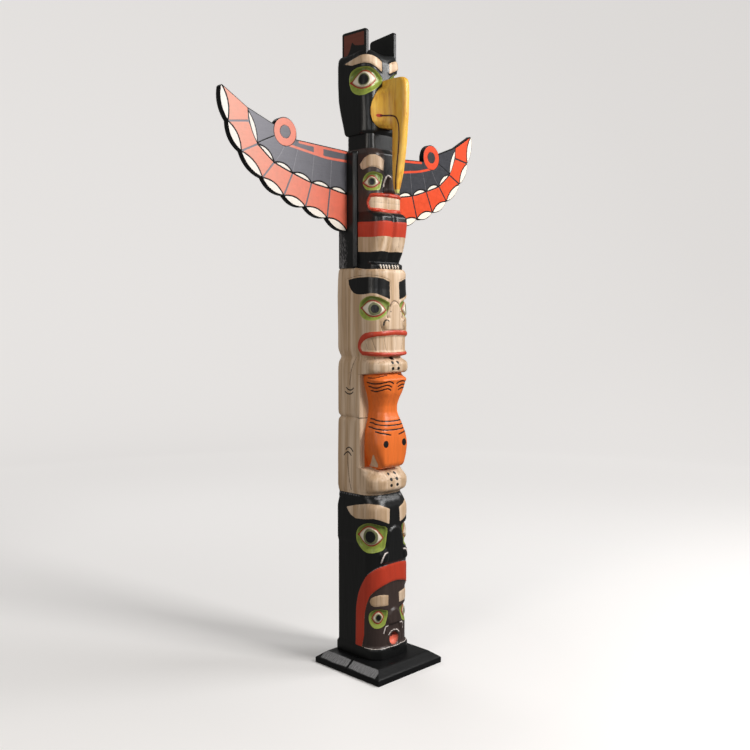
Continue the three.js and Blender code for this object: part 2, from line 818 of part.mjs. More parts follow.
const blackPaint = new THREE.MeshStandardMaterial({ color: 0x161818, roughness: 0.45 });
const bareWood = new THREE.MeshStandardMaterial({ color: 0xcdb394, roughness: 0.6 });
const yellowPaint = new THREE.MeshStandardMaterial({ color: 0xe1af41, roughness: 0.5 });
const orangePaint = new THREE.MeshStandardMaterial({ color: 0xeb5a37, roughness: 0.5 });
const brownPaint = new THREE.MeshStandardMaterial({ color: 0x5f2d23, roughness: 0.5 });

const totemPole = new THREE.Group();

function place(name, geometry, material, at = new THREE.Vector3(), turn = 0) {
  const mesh = new THREE.Mesh(geometry, material);
  mesh.name = name;
  mesh.position.copy(at);
  mesh.rotation.z = turn;
  totemPole.add(mesh);
}

const mirrorX = (at) => new THREE.Vector3(-at.x, at.y, at.z);

place('base_board_front', geometryOf(board(-1)), blackPaint);
place('base_board_back', geometryOf(board(1)), blackPaint);
place('pole', geometryOf(log()), bareWood);
place('beak', geometryOf(beak()), yellowPaint);
place('wing_right', wingGeometry(), orangePaint, wingPlace, wingSweep);
place('wing_left', mirrored(wingGeometry()), orangePaint, mirrorX(wingPlace), -wingSweep);
place('ear_right', earGeometry(), brownPaint, earPlace);
place('ear_left', mirrored(earGeometry()), brownPaint, mirrorX(earPlace));

export default totemPole;
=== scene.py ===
# A carved and painted totem pole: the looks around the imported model.
# Sizes are in millimetres, with Y to the back and Z up. Meshes are in metres.

import math

import bpy
import mathutils
import numpy as np
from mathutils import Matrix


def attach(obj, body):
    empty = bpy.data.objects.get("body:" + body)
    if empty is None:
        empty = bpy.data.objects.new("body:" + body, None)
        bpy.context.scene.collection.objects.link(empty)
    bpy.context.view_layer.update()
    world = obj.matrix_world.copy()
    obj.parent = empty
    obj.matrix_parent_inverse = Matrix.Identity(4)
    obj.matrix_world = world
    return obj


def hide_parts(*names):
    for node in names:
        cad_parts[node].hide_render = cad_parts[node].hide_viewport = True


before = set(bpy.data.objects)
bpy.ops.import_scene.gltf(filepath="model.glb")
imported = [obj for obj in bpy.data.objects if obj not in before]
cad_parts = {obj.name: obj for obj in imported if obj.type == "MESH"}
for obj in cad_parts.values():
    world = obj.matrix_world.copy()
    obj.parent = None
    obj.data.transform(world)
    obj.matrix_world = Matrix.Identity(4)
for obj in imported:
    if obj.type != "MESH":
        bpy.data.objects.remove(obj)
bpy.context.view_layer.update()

MM = 0.001
FAR = 40.0


def placed(name, data):
    """A new object of the scene."""
    made = bpy.data.objects.new(name, data)
    bpy.context.scene.collection.objects.link(made)
    return made


# Camera.


def place_camera():
    """The camera stands to the front and to the -X side, and looks down a little."""
    lens = bpy.data.cameras.new("camera")
    lens.sensor_width = 36.0
    lens.lens = 44.07
    looks_down, looks_aside = 3.886, 45.01
    camera = placed("camera", lens)
    camera.location = (-2.0083, -1.9929, 1.0997)
    camera.rotation_euler = (math.radians(90 - looks_down), 0.0, math.radians(-looks_aside))
    bpy.context.scene.camera = camera


place_camera()


# Distances to painted and carved shapes.


def to_edges(u, z, starts, ends):
    """Distance to the nearest of some straight edges."""
    nearest = np.full(u.shape, 1e9)
    for (u0, z0), (u1, z1) in zip(starts, ends):
        du, dz = u1 - u0, z1 - z0
        along = np.clip(((u - u0) * du + (z - z0) * dz) / max(du * du + dz * dz, 1e-9), 0, 1)
        nearest = np.minimum(nearest, (u - u0 - along * du) ** 2 + (z - z0 - along * dz) ** 2)
    return np.sqrt(nearest)


def to_polygon(u, z, outline):
    """Signed distance to a closed outline, negative inside."""
    corners = np.asarray(outline, float)
    after = np.roll(corners, -1, axis=0)
    inside = np.zeros(u.shape, bool)
    for (u0, z0), (u1, z1) in zip(corners, after):
        if z1 != z0:
            inside ^= ((z0 <= z) != (z1 <= z)) & (u < u0 + (z - z0) * (u1 - u0) / (z1 - z0))
    distance = to_edges(u, z, corners, after)
    return np.where(inside, -distance, distance)


def to_oval(u, z, centre, radii):
    """Signed distance to an upright oval, near enough for paint."""
    ru, rz = radii
    share = np.hypot((u - centre[0]) / ru, (z - centre[1]) / rz)
    return (share - 1) * min(ru, rz)


def spline(before, here, after, beyond, t):
    """The point at share t of the way from here to after, on a soft curve through all four."""
    return 0.5 * (2 * here + (after - before) * t + (2 * before - 5 * here + 4 * after - beyond) * t ** 2
                  + (3 * here - before - 3 * after + beyond) * t ** 3)


def softened(outline, steps=5):
    """A closed soft curve through the points of an outline."""
    p = np.asarray(outline, float)
    around = [np.roll(p, shift, 0) for shift in (1, 0, -1, -2)]
    return np.stack([spline(*around, t) for t in np.arange(steps) / steps], 1).reshape(-1, 2)


def soft_line(line, steps=5):
    """An open soft curve through the points of a line."""
    p = np.asarray(line, float)
    p = np.vstack([2 * p[0] - p[1], p, 2 * p[-1] - p[-2]])
    runs = np.stack([spline(p[:-3], p[1:-2], p[2:-1], p[3:], t) for t in np.arange(steps) / steps], 1)
    return np.vstack([runs.reshape(-1, 2), p[-2]])


def almond(inner, outer, top, bottom, steps=10):
    """The outline of an open eye: two arcs that meet in a corner at each end."""
    inner, outer = np.array(inner, float), np.array(outer, float)
    middle = (inner + outer) / 2
    t = (np.arange(steps) / steps)[:, None]
    upper = np.array([middle[0], 2 * top - middle[1]])
    lower = np.array([middle[0], 2 * bottom - middle[1]])
    over = inner * (1 - t) ** 2 + 2 * upper * t * (1 - t) + outer * t ** 2
    under = outer * (1 - t) ** 2 + 2 * lower * t * (1 - t) + inner * t ** 2
    return np.vstack([over, under])


def ramp(distance, width):
    """0 outside a shape, rising smoothly to 1 at width inside it."""
    t = np.clip(-distance / width, 0, 1)
    return t * t * (3 - 2 * t)


class Skin:
    """Points of a carved surface: across and z in millimetres, how far carving moves each one out,
    and the distance to each colour of paint."""

    def __init__(self, across, z):
        self.u = across
        self.z = z
        self.out = np.zeros(z.shape)
        self.paint = {}

    def near(self, shape, distance, margin=FAR):
        """The points near a shape and their distance to it."""
        shape = np.asarray(shape, float)
        low, high = shape.min(0) - margin, shape.max(0) + margin
        here = (self.u > low[0]) & (self.u < high[0]) & (self.z > low[1]) & (self.z < high[1])
        return here, distance(self.u[here], self.z[here], shape)

    def oval(self, centre, radii):
        """The points near an upright oval and their distance to it."""
        corner = np.array(radii, float)
        return self.near([centre - corner, centre + corner], lambda u, z, shape: to_oval(u, z, centre, radii))

    def coat(self, colour, here, distance):
        """Adds a shape to a colour of paint."""
        paint = self.paint.setdefault(colour, np.full(self.z.shape, FAR))
        paint[here] = np.minimum(paint[here], distance)

    def coat_all(self, colour, distance):
        """Adds a shape whose distance is known at every point."""
        self.paint[colour] = np.minimum(self.paint.get(colour, FAR), distance + np.zeros(self.z.shape))

    def stroke(self, colour, line, width, groove=0.0, soft=True):
        """A brush stroke of the given width along a line, with a groove under it."""
        line = soft_line(line) if soft and len(line) > 2 else line
        here, d = self.near(line, lambda u, z, shape: to_edges(u, z, shape[:-1], shape[1:]) - width / 2)
        self.coat(colour, here, d)
        if groove:
            self.out[here] -= groove * ramp(d - 1.0, width / 2 + 1.5)

    def dot(self, colour, centre, radii):
        """An upright oval of paint."""
        here, d = self.oval(centre, radii)
        self.coat(colour, here, d)
        return here, d

    def raise_by(self, here, distance, height, width):
        """Raises the ground inside a shape, smoothly over the width of its rim."""
        self.out[here] += height * ramp(distance, width)

    def swell(self, outline, height, width):
        """Raises the ground inside an outline."""
        self.raise_by(*self.near(outline, to_polygon), height, width)

    def lump(self, centre, radii, height, width):
        """Raises the ground inside an upright oval."""
        self.raise_by(*self.oval(centre, radii), height, width)

    def brow(self, outline, height):
        """A brow of bare wood that stands up from the paint round it."""
        here, d = self.near(outline, to_polygon)
        self.coat("bare", here, d)
        self.raise_by(here, d, height, 3)

    def band(self, outer, inner, rise, rise_width, sink, sink_width, foot=0.0):
        """Raises the band between two outlines and sinks the field inside, both down to the height foot.
        Gives the distances to the band and to the field."""
        whole, field = np.full(self.z.shape, FAR), np.full(self.z.shape, FAR)
        for distances, outline in ((whole, outer), (field, inner)):
            here, d = self.near(softened(outline, 3), to_polygon)
            distances[here] = d
        whole, field = np.maximum(whole, foot - self.z), np.maximum(field, foot - self.z)
        band = np.maximum(whole, -field)
        self.out += rise * ramp(band, rise_width) - sink * ramp(field, sink_width)
        return band, field


def carve_eye(skin, socket, lids, pupil, iris, depth, ball):
    """An eye: a green bowl, deep under the brow and shallow below, with the eyeball standing in it.
    The iris is a ring of the given width round the pupil."""
    socket = softened(socket)
    low, high = socket[:, 1].min(), socket[:, 1].max()
    here, d = skin.near(socket, to_polygon)
    height = np.clip((skin.z[here] - low) / (high - low), 0, 1)
    bowl = depth * (0.45 + 0.55 * height) * ramp(d, 13 - 9 * height)
    skin.out[here] -= bowl
    skin.coat("green", here, d)
    # Painted shade: the bowl's green darkens towards its top, under the brow.
    skin.coat("under_brow", here, np.maximum(d, 10 - 16 * height))
    outline = almond(*lids)
    eye, e = skin.near(outline, to_polygon)
    back = ramp(e + 1.0, 3.5)
    skin.out[eye] += np.where(e < 6, back * (depth * 0.72 - ball), 0) + 1.6 * ramp(e, 14)
    skin.coat("lids", eye, e)
    centre, radii = pupil
    dark, p = skin.dot("pupil", centre, radii)
    skin.out[dark] -= 0.5 * ramp(p, 2)
    skin.dot("iris", centre, (radii[0] + iris, radii[1] + iris))


# Sections of the log.


def half_columns(flat, corner, side, back_corner, back):
    """Places round half of a section: which stretch each is on, and how far along it."""
    places = []
    for stretch, count in enumerate((flat, corner, side, back_corner, back)):
        places += [(stretch, k / count) for k in range(count)]
    return places + [(4, 1.0)]


def pick(stretch, *choices):
    """Takes each place's value from the choice for its stretch of the section."""
    return np.select([stretch == k for k in range(len(choices))], choices)


def section_points(places, rows, half, front, back, radius, back_radius=9.0):
    """X, Y, outward normal and arc length of each place, on the -X side, for a number of rows.
    Each size is a number, or an array with one for each row."""
    quarter = math.pi / 2
    half, front, back, radius = (np.broadcast_to(v, (rows,))[:, None] for v in (half, front, back, radius))
    stretch = np.array([s for s, _ in places])[None, :]
    f = np.array([t for _, t in places])[None, :]
    flat = half - radius
    side = back - back_radius + front - radius
    angle = f * quarter
    x = pick(stretch, f * flat, flat + radius * np.sin(angle), half + 0 * f,
             half - back_radius + back_radius * np.cos(angle), (half - back_radius) * (1 - f))
    y = pick(stretch, -front + 0 * f, -front + radius - radius * np.cos(angle), -front + radius + f * side,
             back - back_radius + back_radius * np.sin(angle), back + 0 * f)
    turn = pick(stretch, 0 * f, angle, quarter + 0 * f, quarter + angle, 2 * quarter + 0 * f)
    past_corner = flat + radius * quarter
    past_side = past_corner + side
    u = pick(stretch, f * flat, flat + radius * angle, past_corner + f * side,
             past_side + back_radius * angle, past_side + back_radius * quarter + f * (half - back_radius))
    return x, y, np.sin(turn) + 0 * x, -np.cos(turn) + 0 * x, u


def heights_of(z, x):
    """The values z, one for each row of x, repeated along the rows."""
    return np.repeat(z[:, None], x.shape[1], 1)


def by_height(table, z, ease=2.0):
    """Columns of a table, read at the heights z and eased a little along them."""
    table = np.asarray(table, float)
    fine = np.arange(z.min() - 12, z.max() + 12, 0.5)
    read = []
    for column in table.T[1:]:
        value = np.interp(fine, table[:, 0], column)
        if ease:
            kernel = np.exp(-0.5 * (np.arange(-12, 13) * 0.5 / ease) ** 2)
            padded = np.pad(value, 12, mode="edge")
            value = np.convolve(padded, kernel / kernel.sum(), mode="valid")
        read.append(np.interp(z, fine, value))
    return read


# Meshes.


class Shells:
    """Closed shells that make up one piece, with their paint."""

    def __init__(self):
        self.points, self.faces, self.paint, self.count = [], [], [], 0

    def add(self, points, faces, paint):
        """Adds one shell: its points, its faces as rows of point numbers, and its paint."""
        self.points.append(points)
        self.faces.append([[self.count + i for i in face] for face in faces])
        self.paint.append((len(points), paint))
        self.count += len(points)

    def loft(self, rows, paint, steps=(0.9, 0.5)):
        """A closed shell through rings of points, with a stepped cap at each end.
        The axes of rows are row, place and xyz."""
        def cap(ring):
            centre = ring.mean(0)
            return [centre + (ring - centre) * s for s in steps]

        lower = cap(rows[0])[::-1]
        upper = cap(rows[-1])
        grid = np.stack([*lower, *rows, *upper])
        extra = len(steps)
        count, ring = grid.shape[:2]
        index = np.arange(count * ring).reshape(count, ring)
        here, there = index[:-1], index[1:]
        quads = np.stack([here, there, np.roll(there, -1, 1), np.roll(here, -1, 1)], -1).reshape(-1, 4)
        faces = quads.tolist() + [index[0].tolist(), index[-1][::-1].tolist()]
        spots = grid.reshape(-1, 3) - grid.reshape(-1, 3).mean(0)
        a, b, c, d = (spots[quads[:, k]] for k in range(4))
        volume = np.sum(a * np.cross(b, c)) + np.sum(a * np.cross(c, d))
        if volume < 0:
            faces = [face[::-1] for face in faces]
        spread = {}
        for name, values in paint.items():
            ends = [np.repeat(values[:1], extra, 0), values, np.repeat(values[-1:], extra, 0)]
            spread[name] = np.concatenate(ends).ravel()
        self.add(grid.reshape(-1, 3), faces, spread)

    def loft_both(self, x, y, z, paint, steps=(0.9, 0.5)):
        """A closed shell from the half of it on the side of positive x, with its mirror image."""
        half = np.stack([x, y, z], -1)
        rows = np.concatenate([half * (-1, 1, 1), half[:, -2:0:-1]], 1)
        self.loft(rows, {name: np.concatenate([v, v[:, -2:0:-1]], 1) for name, v in paint.items()}, steps)

    def build(self, name, material, coats, smooth=45.0):
        """One object in metres, faces outwards, with the distance to each coat of paint at its points."""
        points = np.concatenate(self.points) * MM
        faces = [face for group in self.faces for face in group]
        mesh = bpy.data.meshes.new(name)
        mesh.from_pydata(points.tolist(), [], faces)
        for colour in coats:
            missing = 0.0 if colour in ("wear", "painted_sheen") else FAR
            values = np.concatenate([paint.get(colour, np.full(n, missing)) for n, paint in self.paint])
            mesh.attributes.new(colour, "FLOAT", "POINT").data.foreach_set("value", values.astype(np.float32))
        mesh.validate()
        mesh.polygons.foreach_set("use_smooth", [True] * len(mesh.polygons))
        mesh.set_sharp_from_angle(angle=math.radians(smooth))
        mesh.materials.append(material)
        return placed(name, mesh)


# The lower figures.

log_half, log_front, log_back, log_radius, log_arris = 80.0, 70.0, 97.0, 48.0, 3.5

# Height, and how far the sides and the front are cut in there.
log_cuts = [
    [38, -3, -3], [40, -4, -4], [68, -4, -4], [71, -3, -3], [73, 0, 0], [130, 0, 0], [390, 0, 0],
    [400, -2, -1], [500, -2, 0], [508, -1, 1], [515, 0, 4], [521, 1, 6], [527, 2, 9], [534, 1, 14],
    [540, 2, 19], [545, 2, 23], [548, 2, 22], [551, 1, 17], [554, 0, 9], [559, 0, 3], [566, -1, 0],
    [590, -1, 0], [597, -1, 4], [603, -1, 9], [609, -1, 14], [614, -1, 20], [619, -1, 30], [623, -1, 44],
    [626, -1, 64], [627, -1, 69], [660, -1, 69], [760, 0, 69], [772, 1, 69], [777, 4, 69], [780, 7, 69],
    [783, 4, 69], [788, 1, 69], [800, 0, 69], [912, 0, 69], [913, 0, 69], [913.5, 0, 14], [915, 0, 5],
    [919, 0, 0], [926, 0, -3], [944, 1, -3], [950, 2, 0], [955, 4, 5], [960, 6, 13], [964, 7, 20],
    [966.5, 7, 20], [968.5, 6, 3], [970, 5, -1], [978, 3, 0], [985, 1, 0], [995, 0, 0], [1040, 0, 0],
    [1150, -1, 0], [1200, 0, 1], [1216, 1, 2], [1223, 2, 3], [1227, 4, 5], [1229.6, 7, 8],
]

lower_brow = [
    (20, 503), (57, 518), (87, 521), (117, 517), (147, 511), (187, 500), (178, 488), (167, 478), (147, 470),
    (117, 472), (77, 477), (57, 472), (23, 457),
]
lower_socket = [
    (32, 445), (55, 455), (77, 461), (97, 461), (117, 454), (135, 441), (143, 425), (141, 400), (127, 382),
    (107, 372), (87, 370), (65, 374), (43, 384), (36, 412),
]
bear_brow = [
    (20, 1192), (46, 1201), (72, 1205), (97, 1206), (127, 1205), (157, 1202), (180, 1198), (178, 1185),
    (169, 1170), (157, 1160), (142, 1155), (122, 1154), (102, 1155), (82, 1158), (67, 1156), (46, 1148),
    (20, 1139),
]
bear_socket = [
    (21, 1127), (42, 1138), (62, 1146), (82, 1149), (99, 1147), (117, 1139), (128, 1127), (131, 1111),
    (128, 1095), (113, 1082), (97, 1077), (80, 1076), (64, 1079), (50, 1085), (38, 1093), (28, 1104),
]
small_brow = [
    (23, 235), (41, 239), (57, 240), (72, 237), (86, 230), (92, 220), (87, 209), (77, 204), (57, 205),
    (24, 203),
]
small_socket = [
    (26, 184), (40, 191), (57, 195), (77, 193), (92, 181), (95, 165), (89, 148), (77, 138), (65, 136),
    (50, 139), (36, 149),
]
arch_outer = [
    (-60, 332), (0, 332), (23, 332), (57, 327), (77, 318), (97, 302), (112, 283), (127, 258), (137, 235),
    (143, 210), (147, 180), (149, 75), (149, 40), (-60, 40),
]
arch_inner = [
    (-60, 276), (0, 276), (23, 274), (46, 269), (67, 258), (87, 240), (97, 220), (105, 195), (110, 170),
    (112, 110), (112, 40), (-60, 40),
]
bear_lips = [
    (-60, 1043), (67, 1043), (97, 1040), (112, 1036), (127, 1025), (135, 1012), (138, 998), (134, 984),
    (125, 975), (107, 970.5), (-60, 970.5),
]
bear_mouth = [
    (-60, 1030), (46, 1030), (77, 1027), (97, 1022), (112, 1015), (122, 1006), (125, 997), (120, 987),
    (108, 983), (-60, 983),
]


def carve_lower_face(skin):
    """The black face at the foot, with the small brown face inside its red arch."""
    skin.brow(lower_brow, 0.8)
    carve_eye(skin, lower_socket, ((44, 416), (138, 421), 450, 392), ((88, 420), (17, 17.5)), 8.5, 10, 3)
    skin.swell([(-40, 452), (0, 452), (16, 448), (29, 436), (35, 410), (42, 386), (60, 374), (64, 362),
                (60, 342), (48, 332), (-40, 332)], 6, 10)
    skin.swell(softened([(30, 368), (44, 373), (54, 366), (58, 350), (50, 338), (36, 340), (30, 352)]), 3, 8)
    skin.stroke("white", [(34, 371), (43, 370), (49, 361), (53, 350), (54, 340)], 3.6, groove=1.2)
    arch, field = skin.band(arch_outer, arch_inner, 1.8, 4, 3.2, 5, foot=73.5)
    skin.coat_all("red", arch)
    skin.coat_all("brown", field)
    # Painted highlight: a grey line along the arch's top edge, where the edge catches the light.
    skin.stroke("grey", [(0, 333), (23, 333), (57, 328), (77, 319), (97, 303)], 2.0)
    skin.brow(small_brow, 1.6)
    carve_eye(skin, small_socket, ((41, 170), (85, 167), 187, 151), ((61, 169), (8, 9)), 3.5, 6, 1.5)
    skin.swell([(-40, 194), (4, 194), (15, 190), (27, 176), (33, 160), (31, 146), (24, 138), (-40, 137)],
               7, 9)
    skin.swell(softened([(20, 146), (34, 146), (43, 136), (42, 120), (32, 112), (24, 124)]), 2.5, 6)
    skin.stroke("white", [(26, 140), (35, 139), (40, 132), (42, 118)], 3.2, groove=0.8)
    # Its mouth has a raised rim and a hollow, with the tongue standing in the hollow's foot.
    rim, r = skin.near([(-30, 60), (34, 126)], lambda u, z, shape: np.hypot(u, z - 95))
    skin.out[rim] += 2.6 * np.clip(1 - np.abs(r - 24) / 7, 0, 1) ** 0.6
    hollow = np.clip((20 - r) / 9, 0, 1)
    tongue = np.clip((88 - skin.z[rim]) / 14, 0, 1)
    skin.out[rim] -= hollow * (12 - 5 * tongue)
    skin.coat("mouth", rim, r - 19)
    skin.coat("tongue", rim, np.maximum(r - 18.0, (skin.z[rim] - 97) * 0.9 - skin.u[rim] * 0.25))
    skin.stroke("white", [(0, 122), (12, 120), (23, 111)], 3.0)
    skin.lump((0, 84), (26, 26), 1.5, 10)
    foot, f = skin.near([(0, 71), (112, 75)], lambda u, z, shape: np.maximum(np.abs(z - 73.5) - 0.9, u - 110))
    skin.coat("white", foot, f)


def carve_bear(skin):
    """The bear: legs and arms of bare wood round a fish, and the face above."""
    z, u = skin.z, skin.u
    # Painted shade: dark brown in the creases carved in the legs and arms.
    skin.stroke("crease", [(183, 672), (182, 630), (177, 590), (169, 555)], 3.0, groove=3.6)
    skin.stroke("crease", [(152, 963), (157, 950), (164, 935), (169, 915), (175, 878)], 3.0, groove=4.2)
    for line in ([(157, 870), (164, 865), (172, 863), (181, 865), (189, 870)],
                 [(159, 858), (166, 853), (175, 851), (185, 852), (194, 857)],
                 [(159, 675), (166, 682), (175, 686), (183, 684), (190, 678)],
                 [(167, 662), (173, 668), (181, 672), (190, 668), (199, 660)]):
        skin.stroke("ink", line, 3.8, groove=0.8)
    # Painted shade: a dark line in the notch round the sides.
    side = (u > 120) & (u < 240)
    skin.coat("crease", side, np.abs(z[side] - 780.5) - 1.2)
    # The paws below and the hands above: rounded lumps with a groove between the fingers, darkened with
    # painted shade.
    for line in ([(0, 593.5), (16, 592), (30, 590)], [(0, 612), (10, 609), (19, 603)],
                 [(0, 941), (14, 941), (26, 940)], [(0, 926), (8, 927), (17, 925)]):
        skin.stroke("finger_groove_shade", line, 2.6, groove=2.0)
    for spot, radii in (
            ((16, 608), (5.6, 4.2)), ((12, 592), (6.0, 5.2)), ((13, 574), (6.0, 5.0)), ((4, 961), (8, 4.2)),
            ((12, 949), (5.6, 4.6)), ((12, 931), (6.0, 5.2)), ((8, 917.5), (5, 3.0))):
        skin.dot("ink", spot, radii)
    skin.lump((0, 938), (34, 22), 1.6, 8)
    skin.lump((74, 939), (46, 21), 2.0, 12)
    skin.lump((74, 588), (48, 22), 1.6, 12)
    # The face.
    here, d = skin.near(bear_brow, to_polygon)
    skin.out[here] -= 1.6 * ramp(d - 5.0, 3.5) * np.clip((skin.z[here] - 1140) / 30, 0.3, 1)
    skin.coat("black", here, d)
    # Painted shade: a dark line in the groove over the brow.
    over_brow = [(23, 1198), (57, 1208), (87, 1212), (117, 1211), (147, 1208), (192, 1198)]
    skin.stroke("crease", over_brow, 1.9, groove=1.6)
    lids = (34, 1108), (126, 1114), 1136, 1088
    carve_eye(skin, bear_socket, lids, ((73, 1111), (13.5, 12.5)), 8, 10, 2.5)
    skin.swell([(-40, 1132), (4, 1132), (14, 1128), (22, 1116), (27, 1104), (30, 1092), (27, 1084),
                (38, 1084), (48, 1075), (53, 1060), (46, 1046), (-40, 1044)], 4.6, 5)
    skin.swell(softened([(24, 1082), (38, 1085), (48, 1074), (50, 1058), (40, 1050), (26, 1058)]), 2.6, 8)
    skin.stroke("ink", [(31, 1073), (35, 1077), (41, 1077), (46, 1071), (48, 1062)], 3.4, groove=0.8)
    # Painted shade: dark lines in the creases round the nose.
    skin.stroke("crease", [(0, 1135), (8, 1133), (16, 1126), (20, 1119)], 3.6, groove=2.2)
    skin.stroke("crease", [(23, 1120), (29, 1108), (33, 1094), (31, 1084)], 3.4, groove=2.0)
    skin.stroke("crease", [(55, 1073), (54.5, 1062), (52, 1053), (47, 1043)], 2.2, groove=1.6)
    skin.dot("ink", (21, 1103), (2.0, 2.0))
    skin.coat_all("lips", skin.band(bear_lips, bear_mouth, 3.0, 4.5, 4.0, 4.5)[0])
    # Painted shade: dark lines in the gaps between the teeth.
    for line in ([(9, 1028), (10, 1008), (9, 985)], [(42, 1027), (39, 1008), (33, 986)],
                 [(84, 1021), (77, 1003), (70, 986)], [(107, 1008), (103, 998), (101, 991)]):
        skin.stroke("tooth_gap_shade", line, 1.7, groove=1.0, soft=False)


def recess(x, y, u, z):
    """Cuts the log back between the bear's legs and arms, to their bare front face."""
    strip = 126.5
    run = np.clip(u / strip, 0, 1)
    eased = 3.2 * np.clip((run - 0.95) / 0.05, 0, 1) ** 2
    cut = (z > 626.5) & (z < 913.2) & (u < strip)
    return np.where(cut, log_half * run, x), np.where(cut, 1.0 + eased, y), cut


def lower_log(shells):
    """The log from its foot to the bear's top, cut back between the bear's limbs."""
    places = half_columns(15, 36, 44, 3, 8)
    edges = [72.6, 626.3, 626.9, 912.9, 913.4, 969.5, 1229.6]
    z = np.unique(np.concatenate([np.arange(38.3, 1229.6, 3.15), edges]))
    side, front = by_height(log_cuts, z)
    reach = log_front - front
    radius = np.minimum(log_radius + 0.35 * np.maximum(front, 0) - side * 0.5, reach + 2)
    x, y, nx, ny, _ = section_points(
        places, len(z), log_half - side, reach, log_back + 1 - side, radius, log_arris)
    nominal = section_points(places, len(z), log_half, log_front, log_back, log_radius, log_arris)[4]
    on_side = np.array([stretch == 2 for stretch, _ in places])[None]
    side_start = log_half - log_radius + log_radius * math.pi / 2
    across = np.where(on_side, side_start + y + log_front - log_radius, nominal)
    height = heights_of(z, x)
    skin = Skin(across, height)
    carve_lower_face(skin)
    carve_bear(skin)
    ground = np.where(height < 640, height - 545.0, FAR)
    skin.coat_all("black", np.maximum(ground, -skin.paint["brown"]))
    x, y, cut = recess(x, y, nominal, height)
    out = np.where(cut, 0, skin.out)
    x, y = x + nx * out, y + ny * out
    rise = 8.0 * np.clip((height - 1185) / 44, 0, 1) ** 1.5 * np.clip((y + 15) / 60, 0, 1)
    hollow = np.interp(height, [626, 700, 745, 775, 850, 880, 912], [59, 59, 55, 40, 40, 60, 62])
    skin.coat_all("orange", np.where(cut, np.abs(x) - hollow, FAR))
    # Painted shade: the notch's dark line, carried across the cut-back front.
    skin.coat("crease", cut, np.where(np.abs(x[cut]) > hollow[cut], np.abs(height[cut] - 779) - 1.6, FAR))
    skin.paint["wear"] = wear_of(skin)
    shells.loft_both(x, y, height + rise, skin.paint)


def wear_of(skin):
    """Where paint is rubbed off: along the rim under the bear's paws, and most on a patch of it."""
    rim = np.exp(-((skin.z - 541) / 5.5) ** 2) * (0.25 + 0.15 * (skin.u > 110))
    patch = np.exp(-((skin.z - 536) / 6.5) ** 2 - ((skin.u - 54) / 20) ** 2) * 0.5
    return np.maximum(rim, patch)


# Height, half width, front, corner radius and the half width where the fish meets the log.
fish_shape = [
    [612, 34, 14, 8, 28], [618, 37, 28, 8, 30], [624, 40, 48, 8, 34], [629, 43, 63, 8, 38],
    [634, 45.5, 68, 9, 41], [641, 48, 71, 11, 45], [653, 54, 71.5, 15, 50], [666, 59.5, 72, 18, 54],
    [678, 63, 72.5, 21, 56], [691, 67, 73, 25, 57], [703, 68.5, 73, 28, 57], [716, 68, 72.5, 31, 57],
    [735, 66, 71, 35, 55], [747, 62, 69.5, 37, 53], [760, 56, 68, 35, 50], [772, 50, 64.5, 32, 47],
    [784, 45, 59, 28, 44], [797, 42, 55, 26, 42], [816, 42, 55, 26, 42], [828, 44, 58, 27, 43],
    [841, 47.5, 63, 30, 46], [853, 52, 68, 32, 49], [865, 58, 70, 34, 53], [872, 62, 71, 36, 56],
    [880, 65, 72, 38, 58], [888, 68, 73, 40, 59], [894, 72, 75.5, 42, 60], [899, 72, 75, 42, 60],
    [903, 69, 69, 41, 60], [909, 66, 62, 41, 60], [918, 63, 56, 38, 60], [924, 60, 50, 38, 60],
]


def fish(shells):
    """The fish hangs head down between the paws; its sides run back and inwards to the log."""
    z = np.arange(612.0, 924.1, 2.6)
    half, front, radius, root = by_height(fish_shape, z, 2.2)
    places = [(stretch, k / count) for stretch, count in enumerate((10, 24, 14)) for k in range(count)]
    places += [(3, k / 4) for k in range(5)]
    stretch = np.array([s for s, _ in places])[None]
    f = np.array([t for _, t in places])[None]
    half, front, radius, root = (v[:, None] for v in (half, front, radius, root))
    flat, angle = half - radius, f * math.pi / 2
    side = front - radius + 9
    x = pick(stretch, flat * f, flat + radius * np.sin(angle), half + (root - half) * f, root * (1 - f))
    y = pick(stretch, -front + 0 * f, -front + radius - radius * np.cos(angle), -front + radius + side * f,
             9 + 0 * f)
    nx = pick(stretch, 0 * f, np.sin(angle), 1 + 0 * f, 1 + 0 * f)
    ny = pick(stretch, -1 + 0 * f, -np.cos(angle), 0 * f, 0 * f)
    # Stripes and eyes are placed by the arc round the log's own section.
    arc = 32 + log_radius * np.arctan2(np.maximum(x - 32, 0), np.maximum(-(y + 22), 1e-6))
    arc = np.where(x < 32, x, arc)
    arc = np.where(stretch >= 2, 107 + f * side * (stretch == 2) + side * (stretch == 3), arc)
    height = heights_of(z, x)
    skin = Skin(arc, height)
    for line in ([(7, 885), (17, 890), (29, 892), (42, 890), (57, 887), (78, 886), (124, 889)],
                 [(14, 875), (26, 880), (37, 881), (55, 876), (72, 873), (122, 877)],
                 [(16, 865), (27, 870), (37, 870), (55, 865), (72, 862), (118, 864)]):
        skin.stroke("ink", line, 4.2, groove=1.4)
    for low, high in ((770, 777), (757.5, 766), (744, 753)):
        stripe = [(-20, low), (0, low), (30, low + 1), (65, (low + high) / 2), (95, high - 1), (126, high)]
        skin.stroke("ink", stripe, 4.0, groove=1.4)
    skin.stroke("ink", [(18, 729), (30, 732), (50, 736), (72, 741)], 4.6, groove=1.4)
    skin.dot("ink", (39, 703), (9.5, 11))
    skin.stroke("ink", [(24, 911), (50, 908), (75, 904), (112, 903)], 3.0, groove=1.8)
    skin.coat("bare", *skin.near([(120, 674), (123, 628), (166, 628)], to_polygon))
    skin.coat_all("orange", -FAR)
    x, y = x + nx * skin.out, y + ny * skin.out
    shells.loft_both(x, y, height, skin.paint)


# The upper figures.

